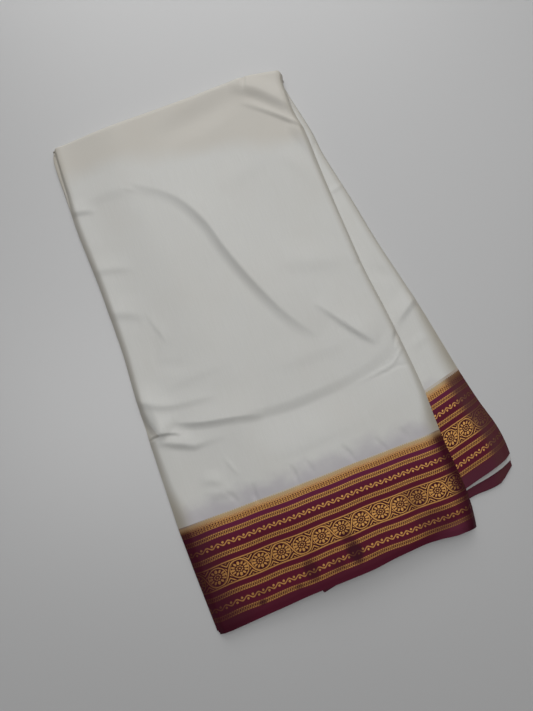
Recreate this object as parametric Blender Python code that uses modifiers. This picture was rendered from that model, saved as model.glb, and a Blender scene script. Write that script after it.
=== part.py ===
"""A silk saree, folded and laid flat on a table.

The cloth is pleated into a strip one panel wide, and the strip is folded once across, so that the front half
lies on the back half with the fold at the top. The back half is swung out to the right. Where the front half
reaches past the back half, it sinks to the table.

Lengths are in metres. +Y runs to the folded top edge, +Z is up and the table is Z = 0. The origin is the
middle of the bundle's footprint.
"""

from math import cos, hypot, pi, sin

import bmesh
import bpy

# Driving sizes
WALL = 0.0012
GAP = 0.0003
HALF_STACK = 0.0084
ROLL = 0.0030
ROLL_DROP = 0.0010
CREASE_ROOM = 0.0010

# Past the back half, the front half stays level for a way and then sinks to the table
LEVEL_PAST_HEM = 0.010
SETTLE = 0.048
LEAST_STRIP_ON_TABLE = 0.010

# The layers that show under the outer cloth at a side
LAYER_GROOVE = 0.0007
LAYER_BULGE = (0.25, 0.75)
FRONT_SIDE_LAYERS = 3
BACK_SIDE_LAYERS = 3
UNDER_SIDE_LAYERS = 2

# How the back half's border is stacked, from the table up
UNDER_TOP = 0.0026
UNDER_INSET = 0.0020
INNER_EDGE_WALL = 0.0010
INNER_EDGE_INSET = 0.0015
UPPER_GROUP_BASE = UNDER_TOP + GAP + INNER_EDGE_WALL + GAP

# The folded top edge
LIP = 0.005
FOLD_STEPS = 9
LAYERS_SHORT_OF_FOLD = 0.0010
BACK_TOP_END = 0.2745

# The layers in the fold round off at the two ends: distance in past the wall, and share of the full radius
FOLD_CORE_ENDS = ((0.0006, 0.60), (0.0012, 0.85))

# How far the hidden layers stay back from the outer cloth's hem
FRONT_HEM_INSET = 0.0060
BACK_HEM_INSET = 0.0030

# Grid of the outer cloth
BODY_ROWS = 25
BORDER_ROWS = 8
ROLL_STEPS = 3
LEFT_COLUMNS = 3
SLOPE_COLUMNS = 3
PANEL_COLUMNS = 11
FRONT_COLUMNS = LEFT_COLUMNS + SLOPE_COLUMNS + PANEL_COLUMNS + 1
FOLD_COLUMNS = (FOLD_STEPS + 1) // 2
BACK_ROWS = 15
BACK_BORDER_ROWS = 6
BACK_SHARES = (0.18, 0.36, 0.54, 0.70, 0.80, 0.865, 0.91, 0.955)

# Front half: its outer cloth's side edges, and how far the layers under it show past the left one
FRONT_SIDES = (
    # along, left, right, layers_out
    (-0.294, -0.1770, 0.1145, 0.0022),
    (-0.252, -0.1800, 0.1192, 0.0012),
    (-0.187, -0.1832, 0.1173, 0.0003),
    (-0.132, -0.1838, 0.1198, 0.0003),
    (-0.077, -0.1838, 0.1177, 0.0003),
    (-0.032, -0.1822, 0.1150, 0.0003),
    (0.018, -0.1788, 0.1108, 0.0003),
    (0.068, -0.1790, 0.1101, 0.0003),
    (0.108, -0.1808, 0.1099, 0.0003),
    (0.178, -0.1842, 0.1103, 0.0005),
    (0.205, -0.1825, 0.1105, 0.0015),
    (0.223, -0.1812, 0.1080, 0.0028),
    (0.235, -0.1808, 0.1075, 0.0033),
    (0.250, -0.1803, 0.1085, 0.0040),
    (0.270, -0.1795, 0.1100, 0.0046),
    (0.283, -0.1790, 0.1135, 0.0050),
)

# Front half: its hem and its folded edge, from left to right
FRONT_ENDS = (
    # across, hem, top
    (-0.179, -0.2955, 0.2905),
    (-0.150, -0.2946, 0.2910),
    (-0.114, -0.2928, 0.2915),
    (-0.070, -0.2904, 0.2925),
    (-0.006, -0.2899, 0.2940),
    (0.020, -0.2877, 0.2955),
    (0.055, -0.2862, 0.2968),
    (0.075, -0.2877, 0.2960),
    (0.092, -0.2901, 0.2940),
    (0.115, -0.2900, 0.2900),
)

# Where the folded edge starts to turn, at the left
FOLD_START = FRONT_ENDS[0][2] - HALF_STACK

# The line where the front border starts
FRONT_BORDER_LINE = -0.1812
FRONT_BORDER_SLOPE = -0.0144

# Back half: its right edge
BACK_RIGHT = (
    # along, right
    (-0.262, 0.1810),
    (-0.234, 0.1842),
    (-0.216, 0.1848),
    (-0.198, 0.1828),
    (-0.169, 0.1762),
    (-0.129, 0.1693),
    (-0.091, 0.1642),
    (-0.045, 0.1579),
    (-0.007, 0.1514),
    (0.047, 0.1420),
    (0.103, 0.1345),
    (0.172, 0.1240),
    (0.203, 0.1222),
    (0.263, 0.1130),
    (0.290, 0.1110),
)

# Back half: its left edge is a straight line that swings out to the fold's end
BACK_LEFT_HEM = (-0.0636, -0.297)
BACK_LEFT_SLOPE = -0.1495
BACK_LEFT_FLARE = 0.027
FLARE_START = 0.190

# Back half: the line where its border starts, at its left and right ends
BACK_BORDER_LEFT = -0.187
BACK_BORDER_RIGHT = -0.129

# Back half: its three hems, from left to right
BACK_HEMS = (
    # across, outer, inner_edge, under
    (-0.064, -0.2880, -0.2903, -0.2970),
    (0.020, -0.2722, -0.2746, -0.2820),
    (0.090, -0.2578, -0.2602, -0.2695),
    (0.127, -0.2500, -0.2524, -0.2626),
    (0.151, -0.2452, -0.2490, -0.2616),
    (0.163, -0.2418, -0.2467, -0.2592),
    (0.172, -0.2390, -0.2443, -0.2537),
    (0.1842, -0.2345, -0.2392, -0.2445),
)

# The largest creases of the front panel, as lines with a height each: a ridge rises, a trough sinks
CREASES = (
    # height, half_width, points
    (0.0009, 0.008, ((-0.105, 0.197), (-0.060, 0.163), (-0.032, 0.098), (-0.008, 0.030), (0.025, -0.028))),
    (-0.0009, 0.009, ((-0.112, 0.185), (-0.073, 0.150), (-0.046, 0.090), (-0.022, 0.022), (0.012, -0.033))),
    (0.0006, 0.007, ((0.042, 0.000), (0.062, -0.030), (0.086, -0.060))),
    (-0.0007, 0.012,
     ((-0.130, -0.070), (-0.085, -0.100), (-0.030, -0.104), (0.040, -0.098), (0.100, -0.088))),
    (0.0006, 0.008, ((-0.170, -0.078), (-0.150, -0.079), (-0.120, -0.090))),
    (-0.0006, 0.012, ((0.060, 0.270), (0.082, 0.245), (0.104, 0.215))),
)

# Colour, roughness and metallic value of each kind of cloth
IVORY = ((0.77, 0.74, 0.67, 1.0), 0.55, 0.0)
PALE = ((0.74, 0.74, 0.74, 1.0), 0.60, 0.0)
MAROON = ((0.13, 0.018, 0.045, 1.0), 0.50, 0.0)


def clear_scene():
    """Remove what the scene holds."""
    for thing in list(bpy.data.objects):
        bpy.data.objects.remove(thing, do_unlink=True)


def smoothstep(value):
    """A soft step from 0 to 1 as value goes from 0 to 1."""
    value = min(1.0, max(0.0, value))
    return value * value * (3.0 - 2.0 * value)


def mix(start, end, share):
    """The value that lies at a share of the way from start to end."""
    return start + (end - start) * share


def read_curve(rows, column, place):
    """One column of a table as a smooth curve over its first column."""
    last = len(rows) - 1
    place = min(rows[last][0], max(rows[0][0], place))
    index = 0
    while index < last - 1 and place > rows[index + 1][0]:
        index += 1
    before = rows[max(0, index - 1)]
    start = rows[index]
    end = rows[index + 1]
    after = rows[min(last, index + 2)]
    span = end[0] - start[0]
    slope_in = (end[column] - before[column]) / (end[0] - before[0])
    slope_out = (after[column] - start[column]) / (after[0] - start[0])
    t = (place - start[0]) / span
    return ((2 * t ** 3 - 3 * t ** 2 + 1) * start[column]
            + (t ** 3 - 2 * t ** 2 + t) * span * slope_in
            + (3 * t ** 2 - 2 * t ** 3) * end[column]
            + (t ** 3 - t ** 2) * span * slope_out)


def back_left(along):
    """The back half's left edge."""
    line = BACK_LEFT_HEM[0] + BACK_LEFT_SLOPE * (along - BACK_LEFT_HEM[1])
    flare = smoothstep((along - FLARE_START) / (BACK_TOP_END - FLARE_START))
    return line - BACK_LEFT_FLARE * flare


def support(across, along):
    """Height of what the front half lies on: the back half, or the table past its edges."""
    past_hem = along - read_curve(BACK_HEMS, 1, across) + LEVEL_PAST_HEM
    inside = min(across - back_left(along), past_hem)
    return (HALF_STACK + GAP) * smoothstep(1.0 + inside / SETTLE)


def front_top(across, along):
    """Height of the front panel's face, before its creases and the roll of its sides."""
    left = read_curve(FRONT_SIDES, 1, along) + ROLL
    right = read_curve(FRONT_SIDES, 2, along) - ROLL
    return support(min(right, max(left, across)), along) + HALF_STACK


def distance_to_line(across, along, points):
    """Distance from a place to a line of straight pieces."""
    nearest = 1.0
    for start, end in zip(points, points[1:]):
        run = (end[0] - start[0], end[1] - start[1])
        offset = (across - start[0], along - start[1])
        share = (offset[0] * run[0] + offset[1] * run[1]) / (run[0] ** 2 + run[1] ** 2)
        share = min(1.0, max(0.0, share))
        nearest = min(nearest, hypot(offset[0] - share * run[0], offset[1] - share * run[1]))
    return nearest


def crease_height(across, along):
    """How far the creases lift or sink the front panel's face."""
    height = 0.0
    for crest, half_width, points in CREASES:
        height += crest * smoothstep(1.0 - distance_to_line(across, along, points) / (2 * half_width))
    return height


def border_line(across):
    """Where the front border starts."""
    return FRONT_BORDER_LINE + FRONT_BORDER_SLOPE * across


def roll_profile():
    """A side of the outer cloth, from its free edge up: distance in from the side, and depth."""
    points = [(0.0, ROLL + ROLL_DROP)]
    for step in range(ROLL_STEPS + 1):
        angle = step / ROLL_STEPS * pi / 2
        points.append((ROLL * (1 - cos(angle)), ROLL * (1 - sin(angle))))
    return points


def side_layers(out, start_depth, end_depth, layers):
    """Rounded edges of stacked layers: distance in from the side, and depth."""
    pitch = (end_depth - start_depth) / layers
    points = [(LAYER_GROOVE - out, start_depth)]
    for layer in range(layers):
        top = start_depth + layer * pitch
        points += [(-out, top + share * pitch) for share in LAYER_BULGE]
        points.append((LAYER_GROOVE - out, top + pitch))
    return points


def front_columns(left, right, along):
    """Places across the front panel: past the back half, down to the table, and on the back half."""
    foot = max(back_left(along) - SETTLE, left + LEAST_STRIP_ON_TABLE)
    brow = max(foot + SETTLE, back_left(along))
    columns = [mix(left, foot, step / LEFT_COLUMNS) for step in range(LEFT_COLUMNS)]
    columns += [mix(foot, brow, step / SLOPE_COLUMNS) for step in range(SLOPE_COLUMNS)]
    columns += [mix(brow, right, step / PANEL_COLUMNS) for step in range(PANEL_COLUMNS + 1)]
    return columns


def front_cover_section(along):
    """The front half's outer cloth across the strip: place across, and depth below its face."""
    left = read_curve(FRONT_SIDES, 1, along)
    right = read_curve(FRONT_SIDES, 2, along)
    side = roll_profile()
    section = [(left + inward, depth) for inward, depth in side[:-1]]
    section += [(place, 0.0) for place in front_columns(left + ROLL, right - ROLL, along)]
    section += [(right - inward, depth) for inward, depth in reversed(side[:-1])]
    return section


def front_core_section(along):
    """The front half's hidden layers, all round: place across, and depth below the face."""
    left = read_curve(FRONT_SIDES, 1, along)
    right = read_curve(FRONT_SIDES, 2, along)
    out = read_curve(FRONT_SIDES, 3, along)
    top_depth = WALL + GAP + CREASE_ROOM
    rim_depth = ROLL + ROLL_DROP + GAP
    neck = WALL + 2 * GAP
    shoulder = ROLL + 2 * GAP
    left_layers = side_layers(out, rim_depth + GAP, HALF_STACK, FRONT_SIDE_LAYERS)
    right_layers = side_layers(GAP, rim_depth + GAP, HALF_STACK, FRONT_SIDE_LAYERS)
    columns = front_columns(left + shoulder, right - shoulder, along)
    section = [(place, top_depth) for place in columns]
    section += [(right - neck, ROLL + 2 * GAP), (right - neck, rim_depth)]
    section += [(right - inward, depth) for inward, depth in right_layers]
    section += [(place, HALF_STACK) for place in reversed(columns)]
    section += [(left + inward, depth) for inward, depth in reversed(left_layers)]
    section += [(left + neck, rim_depth), (left + neck, ROLL + 2 * GAP)]
    return section


def cloth_material(name, finish):
    """A plain cloth material."""
    material = bpy.data.materials.new(name)
    material.use_nodes = True
    shader = material.node_tree.nodes["Principled BSDF"]
    colour, roughness, metallic = finish
    shader.inputs["Base Color"].default_value = colour
    shader.inputs["Roughness"].default_value = roughness
    shader.inputs["Metallic"].default_value = metallic
    return material


def close_end(mesh, ring, columns):
    """Close a loft's end: a ladder between the top and bottom columns, and one face at each side."""
    side = len(ring) // 2 - columns
    bottom = 2 * columns + side - 1
    for index in range(columns - 1):
        mesh.faces.new((ring[index], ring[index + 1], ring[bottom - index - 1], ring[bottom - index]))
    if side > 0:
        mesh.faces.new(ring[columns - 1:columns + side + 1])
        mesh.faces.new(ring[bottom:] + ring[:1])


def loft(name, rows, columns, finish, collection):
    """An object whose mesh runs through rows of points: open, or closed with columns across the top."""
    closed = columns is not None
    mesh = bmesh.new()
    rings = [[mesh.verts.new(point) for point in row] for row in rows]
    count = len(rings[0])
    for lower, upper in zip(rings, rings[1:]):
        for index in range(count if closed else count - 1):
            following = (index + 1) % count
            mesh.faces.new((lower[index], lower[following], upper[following], upper[index]))
    if closed:
        close_end(mesh, rings[0], columns)
        close_end(mesh, rings[-1], columns)
        bmesh.ops.recalc_face_normals(mesh, faces=mesh.faces)
    data = bpy.data.meshes.new(name)
    mesh.to_mesh(data)
    mesh.free()
    data.materials.append(cloth_material(name, finish))
    thing = bpy.data.objects.new(name, data)
    collection.objects.link(thing)
    return thing


def cover(name, rows, finish, collection):
    """An outer stretch of cloth: an open face with its wall inside."""
    thing = loft(name, rows, None, finish, collection)
    wall = thing.modifiers.new("wall", "SOLIDIFY")
    wall.thickness = WALL
    wall.offset = -1.0
    wall.use_even_offset = True
    return thing


def front_body_rows():
    """The front panel's ground, from the border line over the folded edge to the lip under it."""
    rows = []
    for step in range(BODY_ROWS + 1):
        share = step / BODY_ROWS
        middle = mix(FRONT_BORDER_LINE, FOLD_START, share)
        row = []
        for across, depth in front_cover_section(middle):
            along = front_along(across, share)
            flat = 1.0 if depth == 0.0 else 0.0
            height = front_top(across, along) + flat * crease_height(across, along)
            row.append((across, along, height - depth))
        rows.append(row)
    for step in range(1, FOLD_STEPS + 1):
        rows.append(fold_row(step / FOLD_STEPS * pi, 0.0))
    rows.append(fold_row(pi, LIP))
    return rows


def front_along(across, share):
    """A place between the border line and the start of the fold."""
    fold_start = read_curve(FRONT_ENDS, 2, across) - fold_radius(across)
    return mix(border_line(across) + GAP / 2, fold_start, share)


def fold_radius(across):
    """Outer radius of the folded edge, which is half of the bundle's height there."""
    return front_top(across, FOLD_START) / 2


def fold_row(angle, lip):
    """One row of the outer cloth on its way round the folded edge."""
    row = []
    for across, depth in front_cover_section(FOLD_START):
        radius = fold_radius(across)
        middle = read_curve(FRONT_ENDS, 2, across) - radius
        reach = radius - depth
        row.append((across, middle + reach * sin(angle) - lip, radius + reach * cos(angle)))
    return row


def front_border_rows(section, inset):
    """The front border, or its hidden layers, from the border line to the hem."""
    rows = []
    for step in range(BORDER_ROWS + 1):
        share = step / BORDER_ROWS
        middle = mix(FRONT_ENDS[0][1], FRONT_BORDER_LINE, share)
        row = []
        for across, depth in section(middle):
            hem = read_curve(FRONT_ENDS, 1, across) + inset
            along = mix(hem, border_line(across) - GAP / 2, share)
            row.append((across, along, front_top(across, along) - depth))
        rows.append(row)
    return rows


def front_core_rows():
    """The hidden layers under the front panel's ground."""
    rows = []
    for step in range(BODY_ROWS + 1):
        share = step / BODY_ROWS
        middle = mix(FRONT_BORDER_LINE, FOLD_START, share)
        row = []
        for across, depth in front_core_section(middle):
            along = front_along(across, share) - LAYERS_SHORT_OF_FOLD * share
            row.append((across, along, front_top(across, along) - depth))
        rows.append(row)
    return rows


def fold_core_rows():
    """The hidden layers inside the folded edge: half rounds, smaller at the two ends."""
    left = read_curve(FRONT_SIDES, 1, FOLD_START)
    right = read_curve(FRONT_SIDES, 2, FOLD_START)
    shoulder = ROLL + 2 * GAP
    places = [(left + WALL + inward, share) for inward, share in FOLD_CORE_ENDS]
    places += [(place, 1.0) for place in front_columns(left + shoulder, right - shoulder, FOLD_START)]
    places += [(right - WALL - inward, share) for inward, share in reversed(FOLD_CORE_ENDS)]
    rows = []
    for across, share in places:
        radius = fold_radius(across)
        middle = read_curve(FRONT_ENDS, 2, across) - radius
        reach = share * (radius - WALL - GAP)
        row = []
        for step in range(FOLD_STEPS + 1):
            angle = step / FOLD_STEPS * pi
            row.append((across, middle + reach * sin(angle), radius + reach * cos(angle)))
        rows.append(row)
    return rows


def back_point(left_along, right_along, across_share, inward):
    """A place on a row of the back half: a share of the way across, plus a distance in from the left."""
    left = back_left(left_along)
    right = read_curve(BACK_RIGHT, 1, right_along)
    across = mix(left, right, across_share) + inward
    share = (across - left) / (right - left)
    return across, mix(left_along, right_along, share)


def back_body_ends(share):
    """The two ends of a row of the back half's ground."""
    return (mix(BACK_BORDER_LEFT, BACK_TOP_END, share), mix(BACK_BORDER_RIGHT, BACK_TOP_END, share))


def back_cover_section():
    """The back half's outer cloth: share across, distance in, and depth below its face."""
    side = roll_profile()
    section = [(0.0, inward, depth) for inward, depth in side]
    section += [(share, 0.0, 0.0) for share in BACK_SHARES]
    section += [(1.0, -inward, depth) for inward, depth in reversed(side)]
    return section


def back_core_section(base):
    """Hidden layers of the back half, all round, from the outer cloth down to a base height."""
    top_depth = WALL + GAP
    rim_depth = ROLL + ROLL_DROP + GAP
    neck = WALL + 2 * GAP
    shoulder = ROLL + GAP
    bottom = HALF_STACK - base
    layers = BACK_SIDE_LAYERS if base == 0.0 else 1
    edges = [(shoulder, top_depth), (neck, ROLL)]
    if bottom > rim_depth + 2 * GAP:
        edges += [(neck, rim_depth)]
        edges += side_layers(0.0, rim_depth + GAP, bottom, layers)
    else:
        edges += [(neck, bottom)]
    section = [(share, 0.0, top_depth) for share in BACK_SHARES]
    section += [(1.0, -inward, depth) for inward, depth in edges]
    section += [(share, 0.0, bottom) for share in reversed(BACK_SHARES)]
    section += [(0.0, inward, depth) for inward, depth in reversed(edges)]
    return section


def back_body_rows(section):
    """The back half's ground, or its hidden layers, from the border line up to the fold."""
    rows = []
    for step in range(BACK_ROWS + 1):
        left_along, right_along = back_body_ends(step / BACK_ROWS)
        row = []
        for share, inward, depth in section:
            across, along = back_point(left_along, right_along, share, inward)
            row.append((across, along + GAP / 2, HALF_STACK - depth))
        rows.append(row)
    return rows


def back_border_rows(section, hem_column, inset):
    """The back half's border, or some of its hidden layers, from a hem up to the border line."""
    rows = []
    for step in range(BACK_BORDER_ROWS + 1):
        share = step / BACK_BORDER_ROWS
        left_along = mix(BACK_HEMS[0][hem_column] + inset, BACK_BORDER_LEFT, share)
        right_along = mix(BACK_HEMS[-1][hem_column] + inset, BACK_BORDER_RIGHT, share)
        row = []
        for across_share, inward, depth in section:
            across, along = back_point(left_along, right_along, across_share, inward)
            hem = read_curve(BACK_HEMS, hem_column, across) + inset
            straight = mix(BACK_HEMS[0][hem_column], BACK_HEMS[-1][hem_column],
                           (across - BACK_HEMS[0][0]) / (BACK_HEMS[-1][0] - BACK_HEMS[0][0])) + inset
            along += (hem - straight) * (1.0 - share) - GAP / 2
            row.append((across, along, HALF_STACK - depth))
        rows.append(row)
    return rows


def plate_section(low, high, inset, layers):
    """A flat group of layers of the back half's border, all round, between two heights."""
    edges = side_layers(-inset, HALF_STACK - high, HALF_STACK - low, layers)
    section = [(share, 0.0, HALF_STACK - high) for share in BACK_SHARES]
    section += [(1.0, -inward, depth) for inward, depth in edges]
    section += [(share, 0.0, HALF_STACK - low) for share in reversed(BACK_SHARES)]
    section += [(0.0, inward, depth) for inward, depth in reversed(edges)]
    return section


def build():
    """Make each stretch of the folded cloth."""
    clear_scene()
    saree = bpy.data.collections.new("folded_saree")
    bpy.context.scene.collection.children.link(saree)

    cover("front_body", front_body_rows(), IVORY, saree)
    cover("front_border", front_border_rows(front_cover_section, 0.0), MAROON, saree)
    loft("front_layers_body", front_core_rows(), FRONT_COLUMNS, IVORY, saree)
    hidden_border = front_border_rows(front_core_section, FRONT_HEM_INSET)
    loft("front_layers_border", hidden_border, FRONT_COLUMNS, MAROON, saree)
    loft("fold_layers", fold_core_rows(), FOLD_COLUMNS, IVORY, saree)

    cover("back_body", back_body_rows(back_cover_section()), IVORY, saree)
    cover("back_border", back_border_rows(back_cover_section(), 1, 0.0), MAROON, saree)
    inner_columns = len(BACK_SHARES)
    loft("back_layers_body", back_body_rows(back_core_section(0.0)), inner_columns, IVORY, saree)
    upper_group = back_border_rows(back_core_section(UPPER_GROUP_BASE), 1, BACK_HEM_INSET)
    loft("back_layers_border", upper_group, inner_columns, MAROON, saree)
    inner_edge = plate_section(UNDER_TOP + GAP, UNDER_TOP + GAP + INNER_EDGE_WALL, INNER_EDGE_INSET, 1)
    loft("inner_edge", back_border_rows(inner_edge, 2, 0.0), inner_columns, PALE, saree)
    under = plate_section(0.0, UNDER_TOP, UNDER_INSET, UNDER_SIDE_LAYERS)
    loft("under_border", back_border_rows(under, 3, 0.0), inner_columns, MAROON, saree)


build()
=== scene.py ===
"""The looks of a silk saree that is pleated into a strip, folded in half and laid on a table.

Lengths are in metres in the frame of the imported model: +Y runs to the folded top edge, and the table is
Z = 0. The creases and the woven pattern are listed in millimetres, as a weaver would read them.
"""

import logging
from collections.abc import Callable
from dataclasses import dataclass
from enum import Enum
from math import pi

import bmesh
import bpy
import numpy as np
from mathutils import Matrix, Vector


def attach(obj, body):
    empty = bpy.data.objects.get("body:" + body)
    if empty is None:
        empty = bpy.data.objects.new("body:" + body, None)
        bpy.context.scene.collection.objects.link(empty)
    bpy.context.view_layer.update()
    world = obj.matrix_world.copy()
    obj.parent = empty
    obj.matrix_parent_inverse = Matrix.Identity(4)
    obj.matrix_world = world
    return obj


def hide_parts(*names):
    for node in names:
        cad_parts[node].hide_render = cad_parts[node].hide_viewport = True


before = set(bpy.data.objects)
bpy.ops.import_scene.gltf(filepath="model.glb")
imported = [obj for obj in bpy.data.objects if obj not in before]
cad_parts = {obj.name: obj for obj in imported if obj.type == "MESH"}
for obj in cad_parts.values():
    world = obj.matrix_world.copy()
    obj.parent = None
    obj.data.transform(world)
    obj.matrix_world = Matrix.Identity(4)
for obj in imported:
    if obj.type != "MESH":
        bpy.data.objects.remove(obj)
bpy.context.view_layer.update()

MM = 0.001
CUT_MAP = "cut"
RIM_MAP = "rims"
FULL_TURN = 2 * pi
# Points nearer than this are one point
WELD = 2e-6
# Edges shorter than this are dropped
SLIVER = 1e-7
# How far round a place hidden layers look for the lowest crease, in millimetres
LOOK_ACROSS, LOOK_ALONG = 4.5, 4.4
# The waves that make an edge look hand laid: share, rate along it, and shift from one edge to the next
WANDER_WAVES = ((0.5, 21.0, 2.3), (0.3, 53.0, 5.1), (0.2, 117.0, 1.7))

log = logging.getLogger("saree")
Grid = np.ndarray


def soft_step(value: Grid) -> Grid:
    """A soft step from 0 to 1 as value goes from 0 to 1."""
    value = np.clip(value, 0.0, 1.0)
    return value * value * (3.0 - 2.0 * value)


def mix(start: Grid, end: Grid, share: Grid) -> Grid:
    """The value that lies at a share of the way from start to end."""
    return start + (end - start) * share


@dataclass(frozen=True)
class Curve:
    """A smooth curve through a short table of places and values."""

    rows: tuple[tuple[float, float], ...]

    def at(self, place: Grid) -> Grid:
        """Values of the curve, held level past its ends.

        Args:
            place: where to read it.

        Returns:
            One value for each place.
        """
        places, values = np.array(self.rows).T
        last = len(places) - 1
        low, high = np.maximum(np.arange(last + 1) - 1, 0), np.minimum(np.arange(last + 1) + 1, last)
        slopes = (values[high] - values[low]) / (places[high] - places[low])
        place = np.clip(place, places[0], places[-1])
        index = np.clip(np.searchsorted(places, place, side="right") - 1, 0, last - 1)
        span = places[index + 1] - places[index]
        t = (place - places[index]) / span
        return ((2 * t ** 3 - 3 * t ** 2 + 1) * values[index]
                + (t ** 3 - 2 * t ** 2 + t) * span * slopes[index]
                + (3 * t ** 2 - 2 * t ** 3) * values[index + 1]
                + (t ** 3 - t ** 2) * span * slopes[index + 1])


@dataclass(frozen=True)
class Crease:
    """A crease in millimetres: its height, its reach to each side, how sharp its crest is, and its line."""

    height: float
    left: float
    right: float
    sharpness: float
    line: tuple[tuple[float, float, float], ...]
    steps: int = 5

    def smooth_line(self) -> Grid:
        """The line with rounded corners.

        Returns:
            Rows of across, along and strength, in metres and shares.
        """
        rows = np.array(self.line)
        run = np.append(0.0, np.cumsum(np.hypot(*np.diff(rows[:, :2], axis=0).T)))
        places = np.linspace(0.0, run[-1], self.steps * (len(rows) - 1) + 1)
        columns = [Curve(tuple(zip(run, rows[:, column]))).at(places) for column in range(3)]
        return np.stack(columns, axis=1) * (MM, MM, 1.0)

    def lift(self, across: Grid, along: Grid) -> Grid:
        """How far the crease lifts or sinks the cloth.

        Args:
            across: places across the strip.
            along: places along the strip.

        Returns:
            A height for each place.
        """
        line = self.smooth_line()
        reach = max(self.left, self.right) * MM
        near = ((across > line[:, 0].min() - reach) & (across < line[:, 0].max() + reach)
                & (along > line[:, 1].min() - reach) & (along < line[:, 1].max() + reach))
        lifted = np.zeros_like(across)
        if not near.any():
            return lifted
        start, run = line[:-1], np.diff(line, axis=0)
        offset_x = across[near][:, None] - start[:, 0]
        offset_y = along[near][:, None] - start[:, 1]
        squared = (run[:, :2] ** 2).sum(axis=1)
        share = np.clip((offset_x * run[:, 0] + offset_y * run[:, 1]) / squared, 0.0, 1.0)
        gap_x, gap_y = offset_x - share * run[:, 0], offset_y - share * run[:, 1]
        distance = np.hypot(gap_x, gap_y)
        nearest = (np.arange(len(distance)), distance.argmin(axis=1))
        side = (run[:, 0] * gap_y - run[:, 1] * gap_x)[nearest]
        strength = (start[:, 2] + share * run[:, 2])[nearest]
        fall = np.clip(distance[nearest] / (np.where(side > 0, self.left, self.right) * MM), 0.0, 1.0)
        shape = mix(1.0 - soft_step(fall), (1.0 - fall) ** 2, self.sharpness)
        lifted[near] = self.height * MM * strength * shape
        return lifted


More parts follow.
